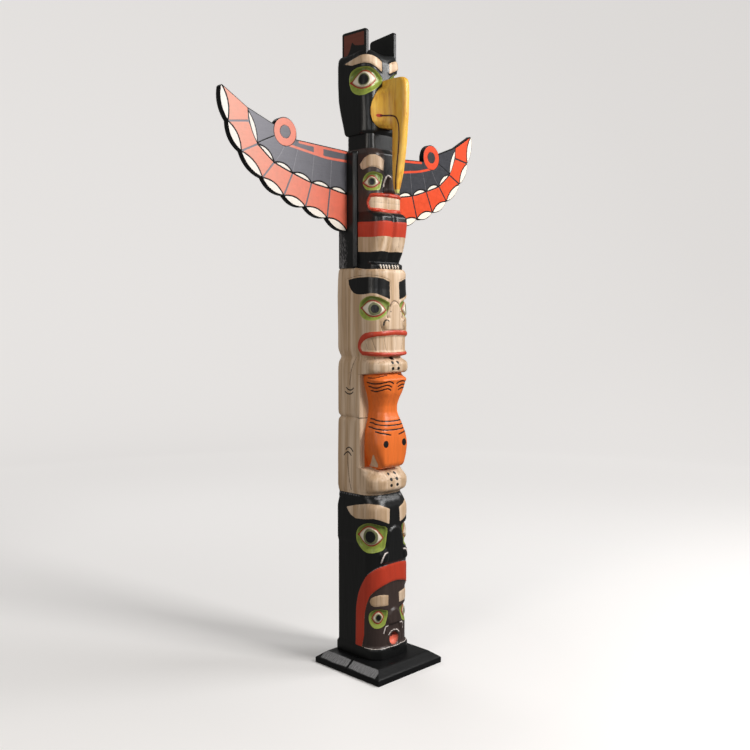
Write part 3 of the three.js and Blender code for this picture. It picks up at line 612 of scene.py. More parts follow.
# Height, front, how far the sides are cut in, and corner radius.
crouch_cuts = [
    [1226, 53, 0, 30], [1243, 54, 0, 30], [1246, 51, 0, 28], [1249, 37, 2, 22], [1252, 37, 2, 22],
    [1279, 50, 1, 25], [1300, 57, 0, 26], [1324, 63, 0, 26], [1350, 67, -1, 27], [1369, 69, -1, 27],
    [1386, 67.5, -1, 28], [1394, 62, -1, 30], [1399, 54, 0, 31], [1402, 44, 1, 30], [1405, 43, 0, 30],
    [1575, 43, 0, 30], [1580, 38, 2, 30], [1584, 33, 4, 28], [1590, 30, 6, 26],
]
crouch_brow = [
    (17, 1555), (35, 1564), (55, 1569), (72, 1568), (92, 1560), (110, 1543), (105, 1530), (97, 1526),
    (72, 1532), (57, 1533), (41, 1529), (21, 1523),
]
crouch_socket = [
    (23, 1509), (35, 1515), (57, 1518), (76, 1516), (92, 1506), (98, 1493), (95, 1478), (85, 1467),
    (67, 1463), (50, 1464), (35, 1467), (27, 1488),
]
crouch_lips = [
    (-60, 1455), (57, 1455), (72, 1448), (79, 1438), (81.5, 1427), (76, 1411), (66, 1404), (56, 1402),
    (-60, 1402),
]
crouch_mouth = [
    (-60, 1444), (56, 1444), (67, 1438), (73.5, 1427), (68, 1416), (58, 1412), (-60, 1412),
]


def crouching_figure(shells):
    """The small figure's face, with its knees and feet below."""
    z = np.unique(np.concatenate([np.arange(1226, 1590, 2.6), [1246.0, 1249.5, 1590.0]]))
    front, side, radius = by_height(crouch_cuts, z, 1.6)
    places = half_columns(16, 24, 26, 2, 4)
    x, y, nx, ny, _ = section_points(places, len(z), 67.0 - side, front, 90.0, radius)
    across = section_points(places, len(z), 67.0, 43.0, 90.0, 33.0)[4]
    height = heights_of(z, x)
    skin = Skin(across, height)
    skin.brow(crouch_brow, 3)
    carve_eye(skin, crouch_socket, ((33, 1487), (97, 1487), 1507, 1473), ((63, 1489), (9.5, 9.5)), 4.5, 7, 2)
    skin.swell([(-40, 1511), (4, 1510), (12, 1503), (19, 1488), (24, 1470), (25, 1456), (-40, 1456)], 11, 8)
    skin.stroke("white", [(-8, 1511), (0, 1512), (7, 1508), (13, 1500), (19, 1487), (21, 1477)], 3.8)
    lips, inside = skin.band(crouch_lips, crouch_mouth, 4.5, 4.5, -0.8, 6)
    skin.coat_all("lips", lips)
    skin.coat_all("bare", inside)
    # Painted shade: dark lines between the teeth.
    skin.stroke("tooth_gap_shade", [(-20, 1428), (74, 1428)], 1.5, groove=1.2, soft=False)
    for gap in (0, 30, 56):
        skin.stroke("tooth_gap_shade", [(gap, 1442), (gap, 1413)], 1.0, groove=1.0, soft=False)
    # Knees, shins and feet.
    wave = 1.5 * np.sin(across / 17.0)
    skin.coat_all("red", np.abs(height - 1348.5 - wave) - 22.5)
    skin.coat_all("bare", np.abs(height - 1304 - wave) - 22.0)
    skin.coat_all("black", np.maximum(height - 1402, -FAR))
    skin.coat_all("black", np.maximum(1512 - height, across - 17.0))
    skin.coat_all("black", np.maximum(np.maximum(1450 - height, height - 1512), np.abs(across - 24) - 2.5))
    skin.coat_all("brown", np.full(height.shape, -FAR))
    knee = np.clip((height - 1250) / 30, 0, 1) * np.clip((1401 - height) / 16, 0, 1)
    skin.out -= 6.5 * knee * np.exp(-(across / 7.0) ** 2)
    skin.out += 2.5 * knee * np.exp(-((across - 40) / 24.0) ** 2)
    x, y = x + nx * skin.out, y + ny * skin.out
    shells.loft_both(x, y, height, skin.paint)


def slab(shells):
    """The upright board-like part of the log behind the crouching figure."""
    z = np.unique(np.concatenate([np.arange(1234.0, 1583, 7.0), [1235.5, 1581.3, 1583.3]]))
    inset = np.interp(z, [1234, 1235.5, 1581, 1583.3], [1.5, 0, 0, 2])
    front, back, half, chamfer = 20.0, 95.0, 80.0, 8.5
    outline = [(0, front), (half - chamfer - 1, front), (half - chamfer + 0.2, front + 0.4)]
    outline += [(half - chamfer + k, front + 0.6 + k) for k in np.arange(1, 6) * (chamfer - 0.6) / 6]
    outline += [(half - 0.4, front + chamfer - 0.2), (half, front + chamfer + 1)]
    outline += [(half, y) for y in np.linspace(front + chamfer + 1, back - 6, 18)[1:]]
    outline += [(half - 1.8, back - 1.8), (half - 6, back), (0, back)]
    ring = np.array(outline)
    x = np.repeat(ring[None, :, 0], len(z), 0)
    y = np.repeat(ring[None, :, 1], len(z), 0)
    x = np.where(x > 1, x - inset[:, None], x)
    height = heights_of(z, x)
    low = np.clip((1420 - height) / 120, 0, 1)
    flecks = 0.42 * np.clip((y - 30) / 40, 0, 1) * (0.45 + 0.55 * low)
    paint = {"black": np.full(height.shape, -FAR), "wear": flecks}
    shells.loft_both(x, y, height, paint)


def neck(shells):
    """The neck between the slab and the bird's head."""
    z = np.arange(1578.0, 1642.1, 4.0)
    places = half_columns(8, 12, 14, 2, 5)
    x, y, _, _, _ = section_points(places, len(z), 60.0, 22.0, 76.0, 24.0)
    height = heights_of(z, x)
    shells.loft_both(x, y, height, {"black": np.full(height.shape, -FAR)})


# Height, half width, front, back and corner radius.
head_shape = [
    [1633.5, 66, 22, 75, 36], [1636, 69, 25, 78, 38], [1641, 71, 28, 80, 40], [1660, 72, 29, 84, 40],
    [1680, 73, 29, 89, 40], [1700, 74, 29, 94, 40], [1740, 75, 29, 102, 40], [1790, 75, 29, 105, 40],
    [1845, 75, 29, 105, 40], [1858, 74, 26, 104, 40], [1864, 73, 23, 103, 39], [1868, 71.5, 20, 101, 38],
    [1870.3, 69, 16, 98, 36],
]
bird_brow = [
    (16, 1846), (28, 1852), (47, 1856), (67, 1858), (86, 1857), (110, 1854), (130, 1850), (150, 1845),
    (120, 1836), (90, 1837), (75, 1838), (58, 1836), (42, 1829), (16, 1817),
]
bird_socket = [
    (13, 1789), (35, 1767), (58, 1753), (79, 1745), (100, 1747), (120, 1759), (129, 1777), (132, 1797),
    (127, 1815), (113, 1824), (90, 1827), (58, 1826), (23, 1807),
]


def bird_head(shells):
    """The bird's head, whose top is arched over each eye."""
    z = np.unique(np.concatenate([np.arange(1633.5, 1870.3, 2.5), [1870.3]]))
    half, front, back, radius = by_height(head_shape, z, 1.4)
    places = half_columns(14, 27, 34, 3, 8)
    x, y, nx, ny, _ = section_points(places, len(z), half, front, back, radius)
    across = section_points(places, len(z), 75.0, 29.0, 95.0, 40.0)[4]
    height = heights_of(z, x)
    skin = Skin(across, height)
    skin.brow(bird_brow, 1.8)
    here, d = skin.near(softened(bird_brow), to_polygon)
    skin.raise_by(here, d - 4.0, 1.4, 5)
    lids = (33, 1794), (128, 1787), 1817, 1766
    carve_eye(skin, bird_socket, lids, ((80, 1791), (16.5, 15.5)), 3.5, 10, 3)
    skin.coat_all("black", -FAR)
    x, y = x + nx * skin.out, y + ny * skin.out
    arch = 8.5 * np.exp(-((across - 67) / 45) ** 2) * np.clip((height - 1842) / 24, 0, 1) ** 1.3
    shells.loft_both(x, y, height + arch, skin.paint, steps=(0.97, 0.6))


# Materials.


class Finish:
    """A procedural finish: coats of paint over the wood, each where its own distance is below zero."""

    def __init__(self, name):
        self.material = bpy.data.materials.new(name)
        self.material.use_nodes = True
        tree = self.material.node_tree
        self.nodes, self.links = tree.nodes, tree.links
        self.nodes.clear()
        self.place = self.node("ShaderNodeTexCoord").outputs["Object"]

    def node(self, kind, inputs=(), **settings):
        """A new node. inputs gives sockets, by name or number, a value or another node's output."""
        made = self.nodes.new(kind)
        for key, value in settings.items():
            setattr(made, key, value)
        for socket, value in dict(inputs).items():
            if isinstance(value, bpy.types.NodeSocket):
                self.links.new(value, made.inputs[socket])
            else:
                made.inputs[socket].default_value = value
        return made

    def maths(self, operation, a, b):
        return self.node("ShaderNodeMath", {0: a, 1: b}, operation=operation).outputs[0]

    def times(self, a, b):
        return self.maths("MULTIPLY", a, b)

    def swing(self, noise, reach):
        """Noise that swings about zero."""
        return self.times(self.maths("SUBTRACT", noise, 0.5), reach)

    def noise(self, stretch, detail=3.0, roughness=0.55):
        """Noise in the piece's own frame, stretched by a factor on each axis."""
        mapping = self.node("ShaderNodeMapping", {"Vector": self.place, "Scale": stretch})
        made = self.node("ShaderNodeTexNoise", {
            "Vector": mapping.outputs[0], "Scale": 1.0, "Detail": detail, "Roughness": roughness})
        return made.outputs["Fac"]

    def between(self, value, low, high, to_low=0.0, to_high=1.0):
        """A smooth step from to_low to to_high as the value goes from low to high."""
        made = self.node("ShaderNodeMapRange", {
            "Value": value, "From Min": low, "From Max": high, "To Min": to_low, "To Max": to_high})
        made.interpolation_type = "SMOOTHSTEP"
        return made.outputs["Result"]

    def mix(self, share, a, b):
        a, b = ((*colour, 1.0) if isinstance(colour, tuple) else colour for colour in (a, b))
        return self.node("ShaderNodeMix", {0: share, 6: a, 7: b}, data_type="RGBA").outputs[2]

    def mix_value(self, share, a, b):
        return self.node("ShaderNodeMix", {0: share, 2: a, 3: b}, data_type="FLOAT").outputs[0]

    def distance(self, name):
        return self.node("ShaderNodeAttribute", attribute_name=name, attribute_type="GEOMETRY").outputs["Fac"]

    def where(self, name, wobble, edge=0.45, reach=0.0):
        """1 inside a painted shape, with an edge that wavers as a brush's does."""
        moved = self.maths("ADD", self.distance(name), wobble)
        return self.between(moved, reach + edge, reach - edge)

    def finish(self, colour, roughness, height, depth=0.0006, shine=0.36):
        bump = self.node("ShaderNodeBump", {"Height": height, "Strength": 0.7, "Distance": depth})
        shader = self.node("ShaderNodeBsdfPrincipled", {
            "Base Color": colour, "Roughness": roughness, "Normal": bump.outputs[0],
            "Specular IOR Level": shine})
        output = self.node("ShaderNodeOutputMaterial")
        self.links.new(shader.outputs[0], output.inputs["Surface"])
        return self.material


def tinted(finish, colour, streak, amount=0.22):
    """A paint colour, darker and lighter along the brush's streaks."""
    dark = tuple(c * (1 - amount) for c in colour)
    light = tuple(min(1.0, c * (1 + amount) + 0.004) for c in colour)
    return finish.mix(streak, dark, light)


black = (0.0042, 0.0046, 0.0048)
brown_black = (0.044, 0.028, 0.024)
bright_red = (0.50, 0.042, 0.016)
lip_red = (0.50, 0.052, 0.022)
fish_orange = (0.74, 0.155, 0.022)
leaf_green = (0.30, 0.375, 0.062)
dark_green = (0.088, 0.125, 0.024)
lit_rim_green = (0.42, 0.52, 0.10)
eye_white = (0.78, 0.70, 0.58)
lid_red = (0.33, 0.035, 0.02)
wood_light = (0.74, 0.565, 0.41)
wood_mid = (0.50, 0.335, 0.20)
wood_dark = (0.24, 0.145, 0.08)
worn_grey = (0.30, 0.29, 0.30)
tongue_pink = (0.86, 0.19, 0.12)
line_white = (0.80, 0.72, 0.68)


def carved_wood():
    """The log: clear-coated wood with its figures painted on."""
    f = Finish("painted_log")
    grain = f.noise((150, 150, 5), 4.0, 0.6)
    bands = f.noise((38, 38, 1.6), 2.0)
    blotch = f.noise((16, 16, 9), 2.0)
    streak = f.noise((90, 90, 9), 3.0)
    fine = f.noise((420, 420, 30), 2.0)
    wobble = f.swing(f.noise((260, 260, 160), 1.0), 1.3)
    wood = f.mix(f.between(bands, 0.36, 0.66), wood_mid, wood_light)
    wood = f.mix(f.times(f.between(grain, 0.50, 0.72), 0.55), wood, wood_dark)
    wood = f.mix(f.times(f.between(blotch, 0.52, 0.75), 0.30), wood, wood_mid)
    colour, rough = wood, f.mix_value(streak, 0.36, 0.50)
    coats = (
        ("brown", brown_black, 0.38, 0.25), ("black", black, 0.30, 0.25), ("orange", fish_orange, 0.40, 0.30),
        ("red", bright_red, 0.40, 0.22), ("bare", None, 0.45, 0), ("lips", lip_red, 0.38, 0.28),
    )
    for name, paint, shine, amount in coats:
        share = f.where(name, wobble)
        laid = wood if paint is None else tinted(f, paint, streak, amount)
        colour = f.mix(share, colour, laid)
        rough = f.mix_value(share, rough, shine)
    rubbed = f.times(f.where("black", wobble), f.between(
        f.maths("ADD", f.distance("wear"), f.noise((320, 320, 90), 4.0, 0.65)), 0.80, 1.05, 0.0, 0.75))
    colour = f.mix(rubbed, colour, worn_grey)
    rough = f.mix_value(rubbed, rough, 0.62)
    shade = f.noise((60, 60, 60), 2.0)
    green = f.mix(f.between(shade, 0.42, 0.75, 0.0, 0.55), leaf_green, dark_green)
    # Painted shade: darker green under the brow.
    green = f.mix(f.between(f.distance("under_brow"), -5.0, 5.0, 0.8, 0.0), green, dark_green)
    # Painted highlight: a lighter green round the rim of each eye socket.
    rim = f.maths("SUBTRACT", 1.0, f.between(f.distance("green"), -4.5, -0.5, 1.0, 0.0))
    green = f.mix(f.times(rim, 0.55), green, lit_rim_green)
    green_share = f.where("green", wobble)
    colour = f.mix(green_share, colour, green)
    colour = f.mix(f.where("lids", wobble, 0.4, 2.4), colour, lid_red)
    # Painted shade: the white of the eye darkens towards the lids.
    white = f.mix(f.between(f.distance("lids"), -8.0, -2.0), eye_white, (0.50, 0.40, 0.26))
    colour = f.mix(f.where("lids", wobble, 0.5, -1.8), colour, white)
    ring = f.times(f.where("iris", wobble, 1.6), f.where("lids", wobble, 0.8, -5.0))
    colour = f.mix(f.times(ring, 0.92), colour, (0.105, 0.125, 0.036))
    colour = f.mix(f.where("pupil", wobble, 0.6), colour, black)
    rough = f.mix_value(f.where("lids", wobble, 0.5, -1.0), rough, 0.32)
    # Painted shade: the crease, finger-groove and tooth-gap colours darken carved grooves.
    for name, wavering, edge, most, paint in (
            ("mouth", wobble, 0.45, 1.0, (0.10, 0.02, 0.015)), ("tongue", wobble, 3.0, 1.0, tongue_pink),
            ("crease", 0.0, 1.0, 0.85, (0.085, 0.042, 0.024)), ("finger_groove_shade", 0.0, 1.0, 0.7, (0.20, 0.12, 0.085)),
            # Painted highlight: the grey line on the arch's top edge.
            ("tooth_gap_shade", 0.0, 0.9, 0.85, (0.09, 0.06, 0.042)), ("grey", wobble, 0.9, 0.8, (0.30, 0.31, 0.33)),
            ("white", wobble, 0.5, 1.0, line_white), ("ink", wobble, 0.5, 1.0, black)):
        colour = f.mix(f.times(f.where(name, wavering, edge), most), colour, paint)
    height = f.maths("ADD", f.times(grain, 0.6), f.times(fine, 0.25))
    height = f.maths("ADD", height, f.times(f.noise((45, 45, 14), 2.0), 1.4))
    return f.finish(colour, rough, height, 0.0011)


log_coats = ("brown", "black", "orange", "red", "bare", "lips", "wear", "green", "under_brow", "lids", "iris",
             "pupil", "mouth", "tongue", "crease", "finger_groove_shade", "tooth_gap_shade", "grey", "white", "ink")


# The wings.

wing_outer = [
    (78.0, 1346.0), (158, 1381), (240.6, 1407), (319.5, 1433), (394, 1476), (465, 1541), (508, 1617),
    (528.6, 1712.8),
]
wing_inner = [
    (78.0, 1457.0), (146, 1469), (217, 1479), (287, 1500), (353, 1523), (409, 1567), (442, 1626),
    (442, 1663),
]
wing_coats = ("slate", "cream", "orange", "line", "faint", "pupil", "black", "painted_sheen")
shoulder, shoulder_radius = (313.0, 1613.4), 41.0
scallop = 12.0
wing_thick = 19.0


def wing_plane(u):
    """How far back a wing's front face is: it leans back a little towards the tip."""
    root_x, root_y, lean = 80, 55.7, 0.0296
    return root_y + lean * (u - root_x)


def ring_round(centre, radius, steps):
    """The points of a closed ring."""
    turn = np.linspace(0, 2 * math.pi, steps)
    return centre + radius * np.stack([np.cos(turn), np.sin(turn)], 1)


def bowed(start, end, bulge, steps=24):
    """An arc from start to end that bulges to the right of its run."""
    start, end = np.array(start, float), np.array(end, float)
    run = end - start
    aside = np.array([run[1], -run[0]]) / np.hypot(*run)
    t = (np.arange(steps) / steps)[:, None]
    return start + run * t + aside * bulge * 4 * t * (1 - t)


def wing_edges(steps):
    """Matching points along the scalloped edge and the upper edge, from root to tip."""
    lower = np.vstack([bowed(a, b, scallop, steps) for a, b in zip(wing_outer[:-1], wing_outer[1:])])
    turn = np.radians(np.linspace(204, 108, 12))
    over = np.radians(np.linspace(108, 23, 12))
    centre = np.array(shoulder)
    left = centre + shoulder_radius * np.stack([np.cos(turn), np.sin(turn)], 1)
    right = centre + shoulder_radius * np.stack([np.cos(over), np.sin(over)], 1)
    stretches = [
        [(78, 1587), (158, 1591)], [(158, 1591), (232, 1595)], np.vstack([[(232, 1595)], left]),
        np.vstack([right, [(372, 1637)]]), [(372, 1637), (424, 1656.5)],
        [(424, 1656.5), (442, 1663), (478, 1684)], [(478, 1684), (528.2, 1713)],
    ]
    upper = []
    for stretch in stretches:
        stretch = np.array(stretch, float)
        length = np.concatenate([[0], np.cumsum(np.hypot(*np.diff(stretch, axis=0).T))])
        at = length[-1] * np.arange(steps) / steps
        upper.append(np.stack([np.interp(at, length, stretch[:, k]) for k in (0, 1)], 1))
    return lower, np.vstack(upper)


def paint_wing(skin, side):
    """Cream scallops, an orange band, grey lines from scallop to scallop and a grey field inside.
    The band along the top is deeper on the left wing, and its orange bar stands nearer the pole."""
    left = side > 0
    field = np.full(skin.z.shape, FAR)
    inside = [(60, 1457)] + wing_inner[1:] + [(352, 1640), (276, 1640), (60, 1600)]
    here, d = skin.near(inside, to_polygon)
    field[here] = d
    skin.coat_all("slate", field)
    for row, bulge in ((wing_outer, scallop), (wing_inner, 12.0)):
        for start, end in zip(row[:-1], row[1:]):
            if row is wing_inner and end[0] > 430:
                continue
            over = bowed(start, end, bulge if row is wing_outer else 1.0)
            under = bowed(end, start, bulge)
            lens = np.vstack([over, under])
            here, d = skin.near(lens, to_polygon)
            skin.coat("cream", here, d + 1.0)
            skin.stroke("black", [*under, np.array(start)], 4.4, groove=0.8, soft=False)
            if row is wing_inner:
                skin.stroke("black", [*over, np.array(end)], 4.4, groove=0.8, soft=False)
    tall = [bowed((441, 1654), (411, 1570), 9.0), bowed((411, 1570), (441, 1654), 6.0)]
    skin.coat("cream", *skin.near(np.vstack(tall), to_polygon))
    skin.stroke("black", [*tall[0], *tall[1], tall[0][0]], 2.8, groove=0.7, soft=False)
    skin.stroke("black", [(441, 1650), (442, 1668)], 2.8, groove=0.7, soft=False)
    for start, end in zip(wing_outer[1:-1], wing_inner[1:-1]):
        skin.stroke("line", [start, end], 5.6, groove=0.9, soft=False)
    skin.stroke("black", [(411, 1570), (380, 1585), (352, 1597)], 3.4, groove=0.6)
    for line in ([(353, 1523), (333, 1545), (317, 1570)], [(287, 1500), (276, 1540), (268, 1568)],
                 [(217, 1480), (211, 1525), (207, 1560)], [(146, 1470), (142, 1515), (140, 1552)]):
        skin.stroke("faint", line, 1.8, groove=0.5)
    skin.stroke("orange", [(262, 1590.5), (200, 1586.5), (60, 1580)], 7.0)
    deeper = 9 if left else 0
    skin.stroke("orange", [(297 + deeper, 1577 - deeper * 0.3), (250, 1570 - deeper), (200, 1563 - deeper),
                           (150, 1557 - deeper), (60, 1555.5 - deeper)], 7.0)
    bar = [(172, 1560 - deeper), (208, 1563 - deeper), (208, 1586), (172, 1584)]
    skin.coat("orange", *skin.near(np.array(bar) - (46 if left else 0, 0), to_polygon))
    ring, r = skin.near([(272, 1572), (354, 1655)],
                        lambda u, z, shape: np.hypot(u - shoulder[0], z - shoulder[1]))
    skin.coat("orange", ring, r - 40.0)
    skin.dot("pupil", shoulder, (19, 18))
    skin.stroke("black", ring_round(shoulder, 18.5, 33), 1.8, groove=0.6, soft=False)
    skin.stroke("black", ring_round(shoulder, 40.5, 49), 2.2, groove=0.6, soft=False)


def wing(side):
    """A wing board with a carved and painted front. Its points run from the lower edge to the upper one."""
    lower, upper = wing_edges(52)
    lower, upper = lower[:-2], upper[:-2]
    eased, rows = 1.3, 96
    length = np.hypot(*(upper - lower).T)
    ease = np.minimum(eased / length, 0.2)[:, None]
    share = ease + (1 - 2 * ease) * (np.arange(rows + 1) / rows)[None]
    share = np.concatenate([np.zeros((len(lower), 1)), share, np.ones((len(lower), 1))], 1)
    spots = lower[:, None] + (upper - lower)[:, None] * share[..., None]
    skin = Skin(spots[..., 0], spots[..., 1])
    paint_wing(skin, side)
    rim = np.zeros(skin.z.shape)
    rim[:, [0, -1]] = eased
    front_y = wing_plane(skin.u) + rim - skin.out
    back_share = np.concatenate([[1.0], np.linspace(0.985, 0.015, 14), [0.0]])
    back_spots = lower[:, None] + (upper - lower)[:, None] * back_share[None, :, None]
    back_y = wing_plane(back_spots[..., 0]) + wing_thick
    back_y[:, [0, -1]] -= 1.5
    x = side * np.concatenate([skin.u, back_spots[..., 0]], 1)
    y = np.concatenate([front_y, back_y], 1)
    z = np.concatenate([skin.z, back_spots[..., 1]], 1)
    paint = {}
    for name in wing_coats:
        front = skin.paint.get(name, np.full(skin.z.shape, FAR))
        paint[name] = np.concatenate([front, np.full(back_y.shape, FAR)], 1)
    # The edges and the back are black all over.
    edge = np.minimum(np.minimum(share * length[:, None], (1 - share) * length[:, None]) - 2.6, FAR)
    cover = np.concatenate([edge, np.full(back_y.shape, -FAR)], 1)
    paint["black"] = np.minimum(paint["black"], cover)
    # Painted sheen on the right wing: its paint is made paler, more towards the tip.
    paint["painted_sheen"] = (0.2 + 0.8 * np.clip((np.abs(x) - 60) / 430, 0, 1)) * (side < 0)
    shells = Shells()
    shells.loft(np.stack([x, y, z], -1), paint, steps=(0.99,))
    return shells


# The beak.

# Height, how far forward the ridge is, the back of the beak, half width where it meets the head, and
# thickness.
beak_shape = [
    [1455.5, 82, -77, 3.0, 0.2], [1459, 84, -74, 5.0, 0.38], [1470, 86.5, -71.5, 8, 0.58],
    [1485, 90, -71, 10.5, 0.75], [1500, 93.5, -71, 12, 0.86], [1520, 99, -71, 13, 0.93],
    [1560, 106, -71, 14, 1], [1600, 112, -71, 14, 1], [1640, 116, -71, 14, 1], [1645, 116.5, -70, 14, 1],
    [1648, 117, -48, 16, 1], [1650, 117, -28, 22, 1], [1656, 117.5, -26, 38, 1], [1668, 119, -25, 53, 1],
    [1686, 120.5, -24, 59, 1], [1706, 121, -24, 60, 1], [1727, 121.5, -25, 54, 1], [1747, 122, -27, 44, 1],
    [1764, 121.5, -27, 29, 1], [1773, 120.5, -27, 15, 1], [1781, 118.5, -27, 13.5, 0.98],
    [1787, 114, -27, 13, 0.94], [1791, 107, -27, 12, 0.88],
]
beak_coats = ("mouth", "corner", "tip")


def beak():
    """A beak with a rounded ridge and hollow flanks, which meets the head along its cheeks."""
    z = np.unique(np.concatenate([np.arange(1455.5, 1791, 2.2), [1791.0]]))
    ridge, rear, cheek, thick = (v[:, None] for v in by_height(beak_shape, z, 1.2))
    profile = np.array([
        [0, 0], [3, 0.3], [5.6, 1], [8, 2.1], [10.2, 4], [12, 6.6], [13.2, 10], [13.8, 14], [14.4, 25],
        [15, 38]])
    length = np.concatenate([[0], np.cumsum(np.hypot(*np.diff(profile, axis=0).T))])
    at = np.linspace(0, length[-1], 40)
    full_depth = profile[-1, 1]
    depth = np.minimum(full_depth, 0.78 * (ridge - 4 + rear))
    nose_x = np.interp(at, length, profile[:, 0])[None] * thick
    nose_y = -ridge + np.interp(at, length, profile[:, 1])[None] / full_depth * depth
    t = (np.arange(1, 41) / 40)[None]
    start_x, start_y = nose_x[:, -1:], nose_y[:, -1:]
    on_head = rear > -40
    end_y = np.where(on_head, rear - 3.0, rear - 1.5)
    bend_x = np.where(on_head, start_x + 0.12 * (cheek - start_x), (start_x + cheek) / 2)
    bend_y = np.where(on_head, end_y - 29, (start_y + end_y) / 2)
    flank_x = start_x * (1 - t) ** 2 + 2 * bend_x * t * (1 - t) + cheek * t ** 2
    flank_y = start_y * (1 - t) ** 2 + 2 * bend_y * t * (1 - t) + end_y * t ** 2
    back_x = cheek * np.array([0.9, 0.5, 0.0])[None]
    back_y = rear + np.zeros((1, 3))
    x = np.concatenate([nose_x, flank_x, back_x], 1)
    y = np.concatenate([nose_y, flank_y, back_y], 1)
    height = heights_of(z, x)
    skin = Skin(y, height)
    mouth = [(-46, 1683), (-58, 1683), (-73, 1682), (-86, 1676), (-94, 1663), (-98, 1645), (-98.5, 1610),
             (-95, 1570), (-89, 1530), (-84, 1495), (-80, 1468)]
    skin.stroke("mouth", mouth, 4.8, groove=1.8)
    skin.coat_all("tip", height - 1466.0)
    skin.dot("corner", (-43.5, 1683.5), (7.5, 5.0))
    x = np.where(x > 6, x + skin.out, x)
    shells = Shells()
    shells.loft_both(x, y, height, skin.paint, steps=(0.8, 0.4))
    return shells


# The ears.

ear_coats = ("black",)


def ear(side, front_rise, back_rise):
    """An ear board on edge. Its top is rounded at both ends, and each end is raised by its own amount."""
    front, rear, low, ear_top = -13, 91, 1866.0, 1938
    turn = np.linspace(0, math.pi / 2, 9)
    front_bend, rear_bend = front + 8 * (1 - np.cos(turn)), rear - 8 * (1 - np.sin(turn))
    y = np.unique(np.round(np.concatenate([front_bend, np.linspace(-4, 82, 60), rear_bend]), 3))
    along = (y - front) / (rear - front)
    top = ear_top + front_rise + (back_rise - front_rise) * np.clip(along, 0, 1) - 4 * along
    for past in (front + 8 - y, y - rear + 8):
        top -= 8 * (1 - np.sqrt(np.maximum(1 - np.clip(past / 8, 0, 1) ** 2, 0)))
    face_z = low + (top[:, None] - 1.6 - low) * np.linspace(0, 1, 34)[None]
    inset = 1.3 * np.clip((np.abs(y - 39) - 50.7) / 1.3, 0, 1)[:, None]
    face_x = 65 - inset + 0 * face_z
    rest_x = np.array([[63.4, 55.6, 54.0, 54.0]]) + 0 * y[:, None]
    rest_z = np.stack([top, top, top - 1.6, 0 * top + low], 1)
    x = side * np.concatenate([face_x, rest_x], 1)
    z = np.concatenate([face_z, rest_z], 1)
    border = np.minimum(np.minimum(top[:, None] - face_z, y[:, None] - front), rear - y[:, None]) - 8.5
    peak = face_z - np.interp(y, [-13, 20, 31, 40, 47, 52, 58, 69, 91],
                              [1891, 1895, 1897, 1902, 1909, 1898, 1884, 1872, 1862])[:, None]
    red = np.concatenate([np.minimum(border, peak), np.full(rest_x.shape, -FAR)], 1)
    shells = Shells()
    shells.loft(np.stack([x, heights_of(y, x), z], -1), {"black": red}, steps=(0.9,))
    return shells


# The base.

board_coats = ("grain",)


def board(side):
    """One of the two bevelled boards of the base; side is -1 for the front one."""
    half, deep, edge, run, drop = 140.0, 139.5, 17.0, 28.5, 21.0
    # Height, how far the bevel has run in there, and how much the edges are eased.
    rows = [(0.0, 0.0, 1.2), (1.2, 0.0, 0.0), (6, 0, 0), (11, 0, 0), (15.6, 0, 0.2), (17.2, 0.9, 0.4)]
    rows += [(edge + drop * k / 12, run * k / 12, 0.4) for k in range(1, 12)]
    rows += [(37.6, run - 0.6, 0.8), (38.0, run + 1.2, 2.0)]
    count_x, count_y = 150, 74
    rings, grain = [], []
    rng = np.random.default_rng(4)
    saw = np.convolve(rng.normal(0, 1, count_y + 40), np.hanning(5), mode="same")[:count_y]
    for z, bevel, ease in rows:
        inner = 0.5 + ease
        x0 = half - bevel - (ease if bevel == 0 else 0)
        y1 = deep + 0.5 - bevel
        along = np.linspace(0, 1, count_x, endpoint=False)
        down = np.linspace(0, 1, count_y, endpoint=False)
        front = np.stack([-x0 + 2 * x0 * along, np.full(count_x, y1)], 1)
        right = np.stack([np.full(count_y, x0), y1 + (inner - y1) * down], 1)
        back = np.stack([x0 - 2 * x0 * along, np.full(count_x, inner)], 1)
        left = np.stack([np.full(count_y, -x0), inner + (y1 - inner) * down], 1)
        rough = 0.7 * saw * (4 < z < 37.5 and bevel > 1)
        right[:, 0] -= np.abs(rough)
        left[:, 0] += np.abs(rough)
        ring = np.concatenate([front, right, back, left])
        ring[:, 1] *= side
        rings.append(np.column_stack([ring, np.full(len(ring), z)]))
        across = np.maximum(np.abs(down * (inner - y1) + y1 - 64) - 58, -6.0)
        ends = np.concatenate([np.full(count_x, 6.0), across, np.full(count_x, 6.0), across[::-1]])
        grain.append(np.maximum(ends, np.abs(z - 28) - 8.5))
    shells = Shells()
    shells.loft(np.array(rings), {"grain": np.array(grain)}, steps=(0.8, 0.4))
    return shells


# Paint for the wings, beak, ears and base.


